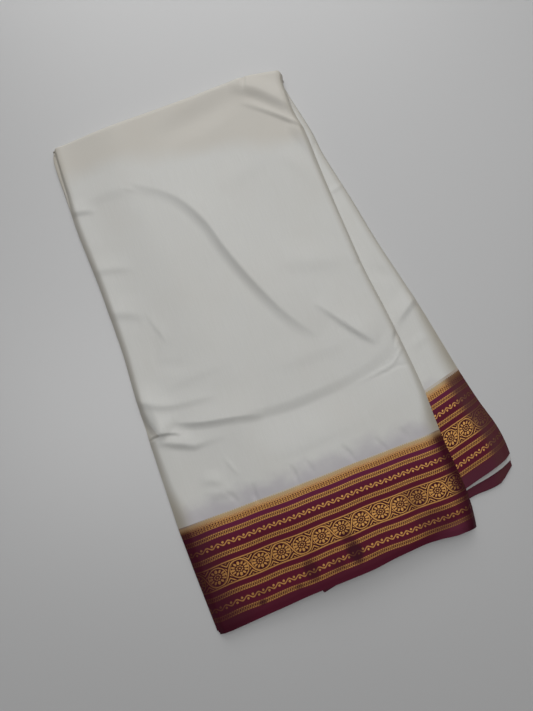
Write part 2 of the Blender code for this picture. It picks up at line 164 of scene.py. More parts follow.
FRONT_CREASES = (
    # The long curved fold, which falls to its lower left
    Crease(4.2, 80.0, 12.5, 0.9, ((-112, 213, 0.0), (-96, 201, 0.30), (-72, 184, 0.50), (-54.5, 163, 0.75),
                                  (-40, 133, 1.0), (-30.5, 98, 1.1), (-20.5, 66, 1.15), (-9.5, 37, 1.05),
                                  (5, 4, 0.75), (22, -24, 0.4), (35, -40, 0.0))),
    Crease(0.55, 4.0, 3.0, 0.8, ((-119, 207, 0.0), (-111, 203, 1.0), (-101, 194, 0.0))),
    # The short fold to its right
    Crease(2.8, 50.0, 7.0, 0.95, ((40, 1, 0.0), (51, -14, 0.5), (67, -38, 1.0), (81, -57, 0.9),
                                  (92, -70, 0.0))),
    # The long trough that crosses the panel, with its branches at both sides
    Crease(2.8, 36.0, 9.0, 0.7, ((-154, -70, 0.0), (-140, -76, 0.7), (-126, -81, 1.0), (-110, -85, 1.0),
                                 (-90, -89, 0.9), (-70, -94, 0.6), (-54, -99, 0.0))),
    Crease(-2.2, 13.0, 42.0, 0.3, ((-84, -99, 0.0), (-60, -103, 0.8), (-20, -106, 1.0), (10, -105, 0.9),
                                   (40, -103, 0.7), (70, -98, 0.5), (98, -89, 0.4), (114, -79, 0.2))),
    Crease(0.7, 3.5, 2.5, 0.8, ((48, -104, 0.0), (66, -102, 0.6), (82, -100, 1.0), (98, -97, 1.0),
                                (116, -83, 0.9))),
    Crease(-0.6, 3.0, 3.0, 0.6, ((70, -104, 0.0), (88, -103.5, 0.9), (102, -101, 1.0), (116, -104, 0.7))),
    Crease(1.9, 28.0, 8.0, 0.7, ((-190, -32, 0.5), (-172, -42, 1.0), (-160, -49, 1.0), (-148, -53, 0.9),
                                 (-130, -56, 0.7), (-112, -58, 0.5), (-92, -62, 0.0))),
    Crease(0.6, 30.0, 14.0, 0.2, ((-38, -51, 0.0), (0, -54, 1.0), (35, -54, 0.9), (74, -51, 0.0))),
    Crease(0.6, 24.0, 10.0, 0.2, ((-164, -33, 0.0), (-132, -32, 1.0), (-102, -31, 0.8), (-70, -29, 0.0))),
    # The pinch at the left side, with the facet above it and the fold below it
    Crease(2.4, 24.0, 1.7, 0.6, ((-190, -80, 1.0), (-173, -78.5, 1.0), (-164, -80, 1.0), (-156, -82.5, 0.8),
                                 (-146, -87.5, 0.0))),
    Crease(-5.7, 17.0, 24.0, 0.15, ((-187, -40, 0.0), (-184, -54, 0.6), (-182, -68, 1.0), (-181, -76, 0.7),
                                    (-180, -83, 0.0))),
    Crease(3.0, 40.0, 11.0, 0.3, ((-188, -42, 0.2), (-181, -50, 0.7), (-174, -63, 1.0), (-168, -76, 1.0),
                                  (-163, -84, 0.0))),
    Crease(2.9, 20.0, 7.5, 0.4, ((-178, -85, 0.0), (-166, -89, 0.6), (-156, -94, 1.0), (-147, -98, 1.0),
                                 (-138, -102.5, 0.7), (-124, -103, 0.3), (-98, -105, 0.0))),
    # Short folds that run in from the left side
    Crease(1.9, 22.0, 6.0, 0.7, ((-190, 204, 1.0), (-174, 200, 1.0), (-164, 197, 0.7), (-154, 193, 0.0))),
    Crease(0.9, 30.0, 14.0, 0.2, ((-176, 212, 0.0), (-150, 211, 1.0), (-126, 209, 1.0), (-104, 203, 0.0))),
    Crease(1.1, 22.0, 8.0, 0.5, ((-186, 125, 0.8), (-165, 121, 1.0), (-150, 116, 0.8), (-134, 110, 0.0))),
    Crease(1.5, 28.0, 10.0, 0.4, ((-186, 72, 0.8), (-166, 66, 1.0), (-152, 59, 0.7), (-142, 50, 0.0))),
    Crease(0.8, 14.0, 4.5, 0.6, ((-140, 58, 0.0), (-135, 38, 1.0), (-131, 26, 0.9), (-127, 12, 0.0))),
    Crease(-0.4, 9.0, 9.0, 0.0, ((-138, 28, 0.0), (-144, 10, 1.0), (-152, -12, 0.0))),
    Crease(-0.4, 10.0, 12.0, 0.0, ((-150, -4, 0.0), (-128, -14, 1.0), (-110, -20, 0.0))),
    # Dents above the border
    Crease(1.2, 14.0, 8.0, 0.3, ((-146, -140, 0.0), (-130, -146, 1.0), (-117, -152, 0.0))),
    Crease(1.0, 14.0, 10.0, 0.2, ((-146, -157, 0.0), (-128, -160, 1.0), (-108, -166, 0.0))),
    Crease(0.7, 6.0, 2.8, 0.6, ((-113, -124, 0.0), (-108, -139, 1.0), (-103, -151, 0.0))),
    Crease(-1.3, 4.0, 5.4, 0.2, ((-49, -158, 0.0), (-47, -170, 1.0), (-48, -186, 0.0))),
    Crease(-1.2, 4.2, 5.2, 0.2, ((-91, -162, 0.0), (-95, -174, 1.0), (-93, -186, 0.0))),
    Crease(-0.7, 3.4, 5.0, 0.2, ((-32, -158, 0.0), (-29, -168, 1.0), (-27, -180, 0.0))),
    Crease(-1.2, 4.2, 6.0, 0.2, ((10, -158, 0.0), (15, -169, 1.0), (20, -184, 0.0))),
    Crease(-0.8, 3.0, 4.6, 0.3, ((46, -163, 0.0), (52, -174, 1.0), (57, -186, 0.0))),
    Crease(-0.7, 4.0, 5.0, 0.2, ((-126, -158, 0.0), (-118, -168, 1.0), (-112, -180, 0.0))),
    Crease(-0.6, 5.0, 6.0, 0.0, ((72, -164, 0.0), (80, -172, 1.0), (84, -184, 0.0))),
    Crease(-0.3, 9.0, 12.0, 0.0, ((-70, -150, 0.0), (-40, -154, 1.0), (0, -152, 0.8), (40, -150, 0.0))),
    # The twist at the top right
    Crease(4.2, 26.0, 14.5, 0.25, ((44, 289, 0.0), (58, 283, 0.6), (70, 275, 1.0), (82, 264, 1.0),
                                   (93, 251, 1.0), (107, 235, 0.7))),
    Crease(2.0, 14.0, 4.4, 0.7, ((48, 263, 0.0), (59, 255, 0.45), (73, 243, 0.8), (87, 230, 1.1),
                                 (98, 219, 1.2), (109, 208, 1.1))),
    Crease(-2.0, 24.0, 26.0, 0.0, ((-70, 250, 0.0), (-25, 257, 0.8), (10, 264, 1.0), (36, 271, 0.8),
                                   (54, 278, 0.0))),
    Crease(-1.5, 3.0, 4.5, 0.3, ((67, 298, 0.6), (64, 288, 1.0), (60, 276, 0.0))),
    Crease(3.2, 20.0, 15.0, 0.3, ((92, 213, 0.0), (103, 206, 0.8), (109, 191, 1.0), (113, 176, 0.9),
                                  (114, 158, 0.0))),
    # Soft hollows of the right side
    Crease(0.9, 32.0, 18.0, 0.2, ((16, 60, 0.0), (46, 50, 1.0), (72, 42, 0.9), (100, 32, 0.0))),
    Crease(0.7, 22.0, 14.0, 0.1, ((66, 190, 0.0), (88, 160, 1.0), (98, 122, 0.0))),
    Crease(0.6, 28.0, 18.0, 0.0, ((-16, 158, 0.0), (10, 172, 1.0), (40, 184, 0.8), (70, 194, 0.0))),
    Crease(-0.9, 5.0, 5.0, 0.2, ((118, 31, 1.0), (108, 25, 0.8), (100, 20, 0.0))),
    Crease(-2.0, 5.0, 4.5, 0.3, ((122, -62, 1.0), (113, -70, 1.0), (108, -81, 0.0))),
    # The border's own waves
    Crease(-0.7, 6.0, 7.0, 0.0, ((-16, -232, 0.0), (-17, -248, 1.0), (-21, -268, 0.9), (-26, -290, 0.3))),
    Crease(-0.6, 7.0, 6.0, 0.0, ((-62, -246, 0.0), (-62, -262, 1.0), (-66, -284, 0.4))),
    Crease(-0.6, 8.0, 8.0, 0.0, ((72, -226, 0.0), (64, -246, 1.0), (56, -264, 0.0))),
    Crease(0.7, 18.0, 22.0, 0.0, ((36, -300, 1.0), (38, -276, 0.7), (42, -250, 0.0))),
    Crease(0.5, 20.0, 20.0, 0.0, ((-104, -300, 1.0), (-100, -278, 0.7), (-96, -250, 0.0))),
)

BACK_CREASES = (
    Crease(2.2, 22.0, 7.5, 0.6, ((122, -56, 0.0), (132, -49, 0.8), (143, -42, 1.0), (160, -32, 0.9))),
    Crease(0.8, 16.0, 10.0, 0.1, ((108, -66, 0.6), (119, -58, 1.0), (130, -50, 0.0))),
    Crease(0.7, 8.0, 4.0, 0.4, ((108, 119, 0.2), (120, 121, 1.0), (130, 124, 0.5))),
    Crease(-0.8, 4.0, 4.0, 0.2, ((110, 170, 0.0), (115, 180, 1.0), (120, 192, 0.4))),
    Crease(0.5, 9.0, 9.0, 0.0, ((122, -92, 0.0), (136, -84, 1.0), (150, -80, 0.4))),
    Crease(-0.6, 10.0, 12.0, 0.0, ((118, 20, 0.0), (130, 6, 1.0), (140, -12, 0.0))),
)


@dataclass(frozen=True)
class Patch:
    """A grid of points, with their places on the cut cloth and their distances from its two side rims."""

    points: Grid
    cut: Grid
    rims: Grid
    faces_up: bool = True


@dataclass(frozen=True)
class Fold:
    """A fold of hidden layers in millimetres: its depth below the face and how its edges stand in or out."""

    high: float
    low: float
    inset: float
    roll_share: float
    out_share: float
    hem: float
    sway: float
    seed: float


def lowest_near(lift: Callable[[Grid, Grid], Grid], across: Grid, along: Grid) -> Grid:
    """The lowest of a height at and round each place, which hidden layers keep under.

    Args:
        lift: gives the height from places across and along.
        across: places across the strip.
        along: places along the strip.

    Returns:
        A height for each place.
    """
    looks = [(right, up) for right in (-2, -1, 0, 1, 2) for up in (-1, 0, 1)]
    steps = [(LOOK_ACROSS * right * MM, LOOK_ALONG * up * MM) for right, up in looks]
    return np.minimum.reduce([lift(across + right, along + up) for right, up in steps])


def wander(place: Grid, seed: float) -> Grid:
    """An uneven wave between -1 and 1 that looks hand laid, for places in metres and a seed."""
    return sum(share * np.sin(place * rate + seed * shift) for share, rate, shift in WANDER_WAVES)


@dataclass(frozen=True)
class Strip:
    """Sizes that every stretch of the folded strip shares."""

    # Height of one half, the gap between the halves, and the wall of an outer cloth
    half_stack: float = 0.0084
    gap: float = 0.0003
    wall: float = 0.0005
    # How deep the outer cloth rolls down at its sides, and how sharply
    roll_depth: float = 0.0054
    roll_bend: float = 1.7
    # How the front half settles past the back half's hem and left side, and how thin that side is pressed
    settle: float = 0.048
    settle_inset: float = 0.006
    longest_settle: float = 0.092
    bridge: float = 0.036
    least_bridge: float = 0.075
    pressed: float = 0.35
    level_past_hem: float = 0.010
    # The front half's sides, how far its folds stand out at the left, its hem and its folded edge
    front_left: Curve = Curve((
        (-0.294, -0.1785), (-0.252, -0.1815), (-0.187, -0.1842), (-0.132, -0.1843), (-0.077, -0.1838),
        (-0.032, -0.1830), (0.018, -0.1806), (0.068, -0.1808), (0.108, -0.1816), (0.178, -0.1850),
        (0.205, -0.1841), (0.223, -0.1829), (0.235, -0.1825), (0.250, -0.1820), (0.270, -0.1811),
        (0.283, -0.1806)))
    front_right: Curve = Curve((
        (-0.294, 0.1166), (-0.252, 0.1201), (-0.187, 0.1190), (-0.132, 0.1209), (-0.077, 0.1190),
        (-0.032, 0.1163), (0.018, 0.1123), (0.068, 0.1114), (0.108, 0.1111), (0.178, 0.1116), (0.205, 0.1118),
        (0.223, 0.1095), (0.235, 0.1083), (0.250, 0.1088), (0.270, 0.1100), (0.283, 0.1135)))
    front_out: Curve = Curve((
        (-0.294, 0.0022), (-0.252, 0.0012), (-0.187, 0.0003), (0.108, 0.0003), (0.178, 0.0005),
        (0.205, 0.0015), (0.223, 0.0028), (0.235, 0.0033), (0.250, 0.0040), (0.268, 0.0045), (0.277, 0.0034),
        (0.283, 0.0008)))
    front_hem: Curve = Curve((
        (-0.179, -0.2955), (-0.150, -0.2946), (-0.114, -0.2928), (-0.070, -0.2904), (-0.006, -0.2899),
        (0.020, -0.2877), (0.055, -0.2864), (0.075, -0.2882), (0.092, -0.2912), (0.115, -0.2918)))
    front_edge: Curve = Curve((
        (-0.179, 0.2905), (-0.150, 0.2910), (-0.114, 0.2915), (-0.070, 0.2925), (-0.006, 0.2940),
        (0.020, 0.2955), (0.055, 0.2968), (0.075, 0.2960), (0.092, 0.2940), (0.115, 0.2900)))
    border_line: float = -0.1812
    border_slope: float = -0.0056
    # The back half's sides, the end of its top, and the ends of its border's line
    back_right: Curve = Curve((
        (-0.262, 0.1810), (-0.234, 0.1842), (-0.216, 0.1848), (-0.198, 0.1828), (-0.169, 0.1762),
        (-0.129, 0.1693), (-0.091, 0.1642), (-0.045, 0.1579), (-0.007, 0.1514), (0.047, 0.1420),
        (0.103, 0.1345), (0.172, 0.1240), (0.203, 0.1222), (0.263, 0.1130), (0.290, 0.1110)))
    back_left_hem: tuple[float, float] = (-0.0636, -0.297)
    back_left_slope: float = -0.1495
    back_left_flare: float = 0.027
    flare_start: float = 0.190
    back_top_end: float = 0.2745
    back_border_left: float = -0.1830
    back_border_right: float = -0.1262
    # How far the front half is pressed down at its sides, and over what width
    droop_left: Curve = Curve(((-0.290, 0.0026), (-0.120, 0.0028), (-0.050, 0.0022), (0.020, 0.0012),
                               (0.200, 0.0012), (0.280, 0.0006)))
    droop_right: Curve = Curve(((-0.290, 0.0016), (-0.180, 0.0024), (-0.110, 0.0022), (-0.060, 0.0010),
                                (0.080, 0.0008), (0.150, 0.0018), (0.215, 0.0018), (0.280, 0.0006)))
    droop_width: Curve = Curve(((-0.290, 0.022), (-0.100, 0.024), (-0.030, 0.015), (0.220, 0.015),
                                (0.280, 0.008)))
    # The back half's three hems
    hem_outer: Curve = Curve((
        (-0.064, -0.2880), (0.020, -0.2722), (0.090, -0.2578), (0.127, -0.2495), (0.139, -0.2469),
        (0.151, -0.2445), (0.163, -0.2417), (0.172, -0.2390), (0.1842, -0.2345)))
    hem_inner: Curve = Curve((
        (-0.064, -0.2903), (0.020, -0.2746), (0.090, -0.2606), (0.127, -0.2532), (0.151, -0.2500),
        (0.163, -0.2476), (0.172, -0.2452), (0.1842, -0.2402)))
    hem_under: Curve = Curve((
        (-0.064, -0.2970), (0.020, -0.2820), (0.090, -0.2695), (0.127, -0.2626), (0.151, -0.2622),
        (0.163, -0.2603), (0.172, -0.2543), (0.1842, -0.2456)))

    @property
    def fold_start(self) -> float:
        """Where the folded edge starts to turn, at the left."""
        return self.front_edge.rows[0][1] - self.half_stack

    def back_left(self, along: Grid) -> Grid:
        """The back half's left edge.

        Args:
            along: places along the strip.

        Returns:
            A place across for each.
        """
        line = self.back_left_hem[0] + self.back_left_slope * (along - self.back_left_hem[1])
        flare = soft_step((along - self.flare_start) / (self.back_top_end - self.flare_start))
        return line - self.back_left_flare * flare

    def line_at(self, across: Grid) -> Grid:
        """Where the front border starts."""
        return self.border_line + self.border_slope * across

    def front_top(self, across: Grid, along: Grid, roll: tuple[Grid, Grid]) -> Grid:
        """Height of the front panel's face before its creases.

        Args:
            across: places across the strip.
            along: places along the strip.
            roll: how far in the cloth starts to turn down, at the left and at the right.

        Returns:
            A height for each place.
        """
        low = self.front_left.at(along) + roll[0]
        high = self.front_right.at(along) - roll[1]
        held = np.clip(across, low, high)
        back_left = self.back_left(along)
        start = np.maximum(self.front_left.at(along) + self.settle_inset, back_left - self.longest_settle)
        end = np.maximum(back_left + self.bridge, start + self.least_bridge)
        past_hem = 1.0 + (along - self.hem_outer.at(held) + self.level_past_hem) / self.settle
        share = np.minimum(soft_step((held - start) / (end - start)), soft_step(past_hem))
        return (self.half_stack + self.gap) * share + self.half_stack

    def droop(self, across: Grid, along: Grid) -> Grid:
        """How far the front half's layers are pressed down towards its two sides.

        Args:
            across: places across the strip.
            along: places along the strip.

        Returns:
            A depth for each place.
        """
        width = self.droop_width.at(along)
        left = 1.0 - np.clip((across - self.front_left.at(along)) / width, 0.0, 1.0)
        right = 1.0 - np.clip((self.front_right.at(along) - across) / width, 0.0, 1.0)
        return self.droop_left.at(along) * left ** 2 + self.droop_right.at(along) * right ** 2

    def back_height(self, across: Grid, along: Grid) -> Grid:
        """Height of the back half, which is pressed thin along its hidden left side."""
        inside = soft_step((across - self.back_left(along)) / self.bridge)
        return self.half_stack * mix(self.pressed, 1.0, inside)


STRIP = Strip()


class Stretch:
    """A stretch of the strip. Its run goes from 0 at the near end to 1 at the far end."""

    roll_left: Curve
    roll_right: Curve
    # The length of a border, how far the hidden folds' side rounding is drawn out, and how their sides differ
    border_length: float = 0.11
    side_roundness: float = 1.3
    right_seed: float = 4.0

    def edges(self, run: Grid) -> tuple[Grid, Grid, Grid]:
        """The two side edges at a run, and the place along where they are read."""
        raise NotImplementedError

    def place(self, across: Grid, run: Grid, depth: Grid, hidden: bool = False) -> Grid:
        """Points of the stretch at a depth below its face."""
        raise NotImplementedError

    def creased(self, across: Grid, along: Grid) -> Grid:
        """What all the creases add to the face."""
        raise NotImplementedError

    def layer_crease(self, across: Grid, along: Grid, hidden: bool) -> Grid:
        """What the creases add to the outer cloth, or to a hidden layer under it."""
        return lowest_near(self.creased, across, along) if hidden else self.creased(across, along)

    def cut(self, across: Grid, points: Grid) -> Grid:
        """Places on the cut cloth: across the pattern, and down from the line where the border starts."""
        raise NotImplementedError

    def hem_inset(self, inset: float) -> "Stretch":
        """The same stretch with its hem drawn in."""
        raise NotImplementedError

    def rolls(self, along: Grid) -> tuple[Grid, Grid]:
        """How far in the outer cloth starts to turn down at its two sides."""
        return self.roll_left.at(along), self.roll_right.at(along)

    def outer_cloth(self, runs: Grid, shares: Grid, turns: int = 12) -> Patch:
        """The outer cloth, turned down at both sides.

        Args:
            runs: rows of the grid.
            shares: columns of its flat part, from 0 at the left to 1 at the right.
            turns: columns in each rolled side.

        Returns:
            The grid.
        """
        run = runs[:, None]
        left, right, along = self.edges(run)
        roll_left, roll_right = self.rolls(along)
        inward = np.linspace(0.0, 1.0, turns + 1)[None, :-1]
        depth = STRIP.roll_depth * (1.0 - inward) ** STRIP.roll_bend
        flat = mix(left + roll_left, right - roll_right, shares[None, :])
        low, high = left + roll_left * inward, right - roll_right * inward
        across = np.concatenate((low, flat, high[:, ::-1]), axis=1)
        depths = np.concatenate((depth, np.zeros((1, len(shares))), depth[:, ::-1]), axis=1)
        run = np.broadcast_to(run, across.shape)
        points = self.place(across, run, np.broadcast_to(depths, across.shape))
        rims = np.stack((across - left, right - across), axis=-1)
        return Patch(points, self.cut(across, points), rims)

    def folds(self, folds: tuple[Fold, ...], grid: tuple[int, int], near_round: bool) -> list[Patch]:
        """Folds of hidden layers, each rounded at its sides and, at a hem, at its near end.

        Args:
            folds: the folds from the top down.
            grid: rows and columns of each.
            near_round: whether the near end is a hem.

        Returns:
            An upper and a lower grid for each fold.
        """
        rows, columns = grid
        patches = []
        for fold in folds:
            stretch = self.hem_inset(fold.hem * MM) if near_round else self
            half = (fold.low - fold.high) / 2 * MM
            middle = (fold.low + fold.high) / 2 * MM
            turn = np.linspace(0.0, pi / 2, 6)
            near = turn if near_round else np.array((0.0, pi / 2))
            near_run = (1.0 - np.cos(near)) * half / self.border_length if near_round else np.zeros(2)
            run = np.concatenate((near_run, np.linspace(0.0, 1.0, rows)[1:], [1.0]))[:, None]
            fullness = np.concatenate((np.sin(near), np.ones(rows - 1), [0.0]))[:, None]
            left, right, along = stretch.edges(run)
            roll_left, roll_right = stretch.rolls(along)
            out = STRIP.front_out.at(along) * fold.out_share
            inset, sway = fold.inset * MM, fold.sway * MM
            left_wave, right_wave = wander(along, fold.seed), wander(along, fold.seed + self.right_seed)
            low = left + inset + fold.roll_share * roll_left - out + sway * left_wave
            high = right - inset - fold.roll_share * roll_right - sway * right_wave
            ends = (1.0 - np.cos(turn)) * half * self.side_roundness
            flat = mix(low + ends[-1], high - ends[-1], np.linspace(0.0, 1.0, columns)[None, 1:-1])
            across = np.concatenate((low + ends, flat, (high - ends)[:, ::-1]), axis=1)
            round_off = np.concatenate((np.sin(turn), np.ones(columns - 2), np.sin(turn)[::-1]))[None, :]
            spread = half * fullness * round_off
            run = np.broadcast_to(run, across.shape)
            rims = np.stack((across - low, high - across), axis=-1)
            for sign in (-1.0, 1.0):
                points = stretch.place(across, run, middle + sign * spread, hidden=True)
                patches.append(Patch(points, stretch.cut(across, points), rims, faces_up=sign < 0))
        return patches


# The pattern's repeat across the border, in millimetres
PATTERN_PITCH = 22.4
# Place across the front, and the wheel that falls there, counted from the left
MEDALLIONS = Curve((
    (-0.1849, -1.0), (-0.1611, 0.0), (-0.1362, 1.0), (-0.1125, 2.0), (-0.0890, 3.0), (-0.0438, 5.0),
    (0.0012, 7.0), (0.0460, 9.0), (0.0670, 10.0), (0.0890, 11.0), (0.1110, 12.0), (0.1330, 13.0)))
# Place across the front, and how tall the pattern stands there
BORDER_STRETCH = Curve(((-0.184, 1.047), (-0.130, 1.040), (-0.080, 1.015), (-0.030, 1.0), (0.120, 0.995)))


class Front(Stretch):
    """What the stretches of the front half share."""

    # Heights of the soft roll and the ripple of the whole face
    roll_height: float = 0.00016
    ripple_height: float = 0.00005
    # How far the pattern's rows wave, and how far down they wave twice as much
    wide_wave: float = 0.0003
    short_wave: float = 0.0002
    wave_doubles_at: float = 0.1
    roll_left = Curve(((-0.295, 0.007), (-0.240, 0.010), (-0.180, 0.012), (-0.140, 0.011), (-0.100, 0.008),
                       (-0.040, 0.007), (0.040, 0.008), (0.110, 0.008), (0.190, 0.0075), (0.240, 0.005),
                       (0.290, 0.004)))
    roll_right = Curve(((-0.295, 0.006), (-0.240, 0.009), (-0.180, 0.013), (-0.140, 0.011), (-0.100, 0.007),
                        (-0.040, 0.005), (0.110, 0.005), (0.190, 0.008), (0.240, 0.005), (0.290, 0.004)))

    def row(self, run: Grid) -> Grid:
        """The place along where the side edges of a row are read."""
        raise NotImplementedError

    def edges(self, run: Grid) -> tuple[Grid, Grid, Grid]:
        """The two side edges at a run, and the place along where they are read."""
        along = self.row(run)
        return STRIP.front_left.at(along), STRIP.front_right.at(along), along

    def cut(self, across: Grid, points: Grid) -> Grid:
        """Places on the cut cloth, so that the pattern falls where the front shows it.

        Args:
            across: places across the strip.
            points: the points of those places.

        Returns:
            Across the pattern and down from its line, in metres.
        """
        count = MEDALLIONS.at(across) + 0.5
        from_line = STRIP.line_at(across) - points[..., 1]
        lower = soft_step(from_line / self.wave_doubles_at)
        wave = self.wide_wave * np.sin(across * 41.0 + 0.6) + self.short_wave * np.sin(across * 117.0)
        down = (from_line + wave * (1.0 + lower)) / BORDER_STRETCH.at(across)
        return np.stack((count * PATTERN_PITCH * MM, down), axis=-1)

    def raised(self, across: Grid, along: Grid, depth: Grid, hidden: bool) -> Grid:
        """Heights of a layer of the front half.

        Args:
            across: places across the strip.
            along: places along the strip.
            depth: depths below the face.
            hidden: whether it lies under the outer cloth.

        Returns:
            Heights that follow the face and, near it, its creases.
        """
        top = STRIP.front_top(across, along, self.rolls(along))
        near_face = np.clip(1.0 - depth / STRIP.half_stack, 0.0, 1.0)
        crease = self.layer_crease(across, along, hidden)
        return top + (crease - STRIP.droop(across, along)) * near_face - depth

    def creased(self, across: Grid, along: Grid) -> Grid:
        """What all the creases add to the face.

        Args:
            across: places across the strip.
            along: places along the strip.

        Returns:
            A height for each place.
        """
        height = sum(crease.lift(across, along) for crease in FRONT_CREASES)
        roll = np.sin(across * 34.0 + along * 19.0) + np.sin(along * 41.0 - across * 15.0 + 1.3)
        ripple = np.sin(across * 93.0 + along * 47.0 + 0.7) * np.sin(along * 71.0 - across * 38.0)
        return height + self.roll_height * roll + self.ripple_height * ripple


@dataclass
class FrontGround(Front):
    """The ivory ground of the front half, from the border's line to where the folded edge turns."""

    # Shares of the run where the cloth rises to the fold
    rise_from: float = 0.92
    rise_over: float = 0.08

    def row(self, run: Grid) -> Grid:
        """The place along where the side edges of a row are read."""
        return mix(STRIP.border_line, STRIP.fold_start, run)

    def place(self, across: Grid, run: Grid, depth: Grid, hidden: bool = False) -> Grid:
        """Points of the ground at a depth below its face.

        Args:
            across: places across the strip.
            run: runs along the stretch.
            depth: depths below its face.
            hidden: whether the points lie under the outer cloth.

        Returns:
            The points.
        """
        radius = fold_radius(across)
        along = mix(STRIP.line_at(across), STRIP.front_edge.at(across) - radius, run)
        to_fold = 2.0 * radius - STRIP.front_top(across, along, self.rolls(along))
        rise = to_fold * soft_step((run - self.rise_from) / self.rise_over)
        height = self.raised(across, along, depth, hidden) + rise
        return np.stack((across, along, height), axis=-1)


@dataclass
class FrontBorder(Front):
    """The border of the front half, from its hem to its line."""

    # How far a hidden hem is drawn in and wavers, and how the outer hem droops
    inset: float = 0.0
    inset_sway: float = 0.3
    inset_seed: float = 9000.0
    hem_droop: float = 0.0009
    hem_droop_over: float = 0.007

    def hem_inset(self, inset: float) -> "FrontBorder":
        """The same border with its hem drawn in."""
        return FrontBorder(inset=inset)

    def row(self, run: Grid) -> Grid:
        """The place along where the side edges of a row are read."""
        return mix(STRIP.front_hem.rows[0][1], STRIP.border_line, run)

    def place(self, across: Grid, run: Grid, depth: Grid, hidden: bool = False) -> Grid:
        """Points of the border at a depth below its face.

        Args:
            across: places across the strip.
            run: runs along the stretch.
            depth: depths below its face.
            hidden: whether the points lie under the outer cloth.

        Returns:
            The points.
        """
        sway = self.inset_sway * wander(across, self.inset * self.inset_seed)
        outer_hem = STRIP.front_hem.at(across)
        along = mix(outer_hem + self.inset * (1.0 + sway), STRIP.line_at(across), run)
        droop = self.hem_droop * (1.0 - soft_step((along - outer_hem) / self.hem_droop_over))
        height = self.raised(across, along, depth, hidden) - droop * (not hidden)
        return np.stack((across, along, height), axis=-1)


# How far in the cloth turns down at the two ends of the folded edge
FOLD_ROLL = (0.003, 0.003)


def fold_radius(across: Grid) -> Grid:
    """Outer radius of the folded edge, which is half of the bundle's height there."""
    along = np.full_like(across, STRIP.fold_start)
    return STRIP.front_top(across, along, FOLD_ROLL) / 2


@dataclass
class TopFold(Front):
    """The folded top edge, where the strip turns over: a half turn, then a lip on the table."""

    # Shares of the run for the half turn and for the lip, and the lip's length
    turn_share: float = 0.9
    lip_share: float = 0.1
    lip_length: float = 0.005
    # How the turn wavers, what stays free at its core, and its smallest radius
    waver: float = 0.0003
    waver_seed: float = 3.0
    core: float = 0.0003
    least_reach: float = 0.0002

    def pressed_depth(self, depth: Grid, room: Grid) -> Grid:
        """Depths of hidden layers, the inner ones pressed together where the turn is too tight for them all.

        Args:
            depth: depths below the face.
            room: how deep the turn is.

        Returns:
            Depths that stay inside the turn and stay apart.
        """
        free = room / 2
        share = np.minimum((room - free) / (STRIP.half_stack - free), 1.0)
        return np.where(depth > free, free + (depth - free) * share, depth)

    def row(self, run: Grid) -> Grid:
        """The place along where the side edges of a row are read."""
        return np.full_like(run, STRIP.fold_start)

    def place(self, across: Grid, run: Grid, depth: Grid, hidden: bool = False) -> Grid:
        """Points round the fold: a half turn, then a lip that lies on the table.

        Args:
            across: places across the strip.
            run: runs along the stretch.
            depth: depths below its face.
            hidden: whether the points lie under the outer cloth.

        Returns:
            The points.
        """
        angle = np.minimum(run / self.turn_share, 1.0) * pi
        lip = np.maximum(run - self.turn_share, 0.0) / self.lip_share * self.lip_length
        radius = fold_radius(across)
        middle = STRIP.front_edge.at(across) - radius
        facing = np.maximum(np.cos(angle), 0.0)
        near_face = np.clip(1.0 - depth / STRIP.half_stack, 0.0, 1.0)
        along = middle + radius * np.sin(angle)
        crease = self.layer_crease(across, along, hidden) - STRIP.droop(across, along)
        waver = self.waver * wander(across, self.waver_seed) * np.sin(angle)
        if hidden:
            depth = self.pressed_depth(depth, radius - self.core)
        reach = np.maximum(radius - depth + crease * facing * near_face + waver, self.least_reach)
        turned = middle + reach * np.sin(angle) - lip
        return np.stack((across, turned, radius + reach * np.cos(angle)), axis=-1)


class Back(Stretch):
    """What the stretches of the back half share."""

    roll_left = Curve(((-0.30, 0.003), (0.29, 0.003)))
    roll_right = Curve(((-0.262, 0.010), (-0.200, 0.013), (-0.120, 0.014), (-0.070, 0.013), (-0.040, 0.008),
                        (0.010, 0.0055), (0.150, 0.0042), (0.290, 0.003)))

    def ends(self, run: Grid) -> tuple[Grid, Grid]:
        """Where a row ends along the left and right edges."""
        raise NotImplementedError

    def edges(self, run: Grid) -> tuple[Grid, Grid, Grid]:
        """The two side edges at a run, and the place along where they are read."""
        left_along, right_along = self.ends(run)
        return STRIP.back_left(left_along), STRIP.back_right.at(right_along), right_along

    def along(self, across: Grid, run: Grid) -> Grid:
        """The place along of a point on a row.

        Args:
            across: places across the strip.
            run: runs along the stretch.

        Returns:
            A place along for each.
        """
        left_along, right_along = self.ends(run)
        left, right = STRIP.back_left(left_along), STRIP.back_right.at(right_along)
        return mix(left_along, right_along, (across - left) / (right - left))

    def creased(self, across: Grid, along: Grid) -> Grid:
        """What all the creases add to the face."""
        return sum(crease.lift(across, along) for crease in BACK_CREASES)

    def place(self, across: Grid, run: Grid, depth: Grid, hidden: bool = False) -> Grid:
        """Points of the back half at a depth below its face.

        Args:
            across: places across the strip.
            run: runs along the stretch.
            depth: depths below its face.
            hidden: whether the points lie under the outer cloth.

        Returns:
            The points.
        """
        along = self.along(across, run)
        near_face = 1.0 - depth / STRIP.half_stack
        crease = self.layer_crease(across, along, hidden)
        height = (STRIP.back_height(across, along) + crease) * near_face
        return np.stack((across, along, height), axis=-1)


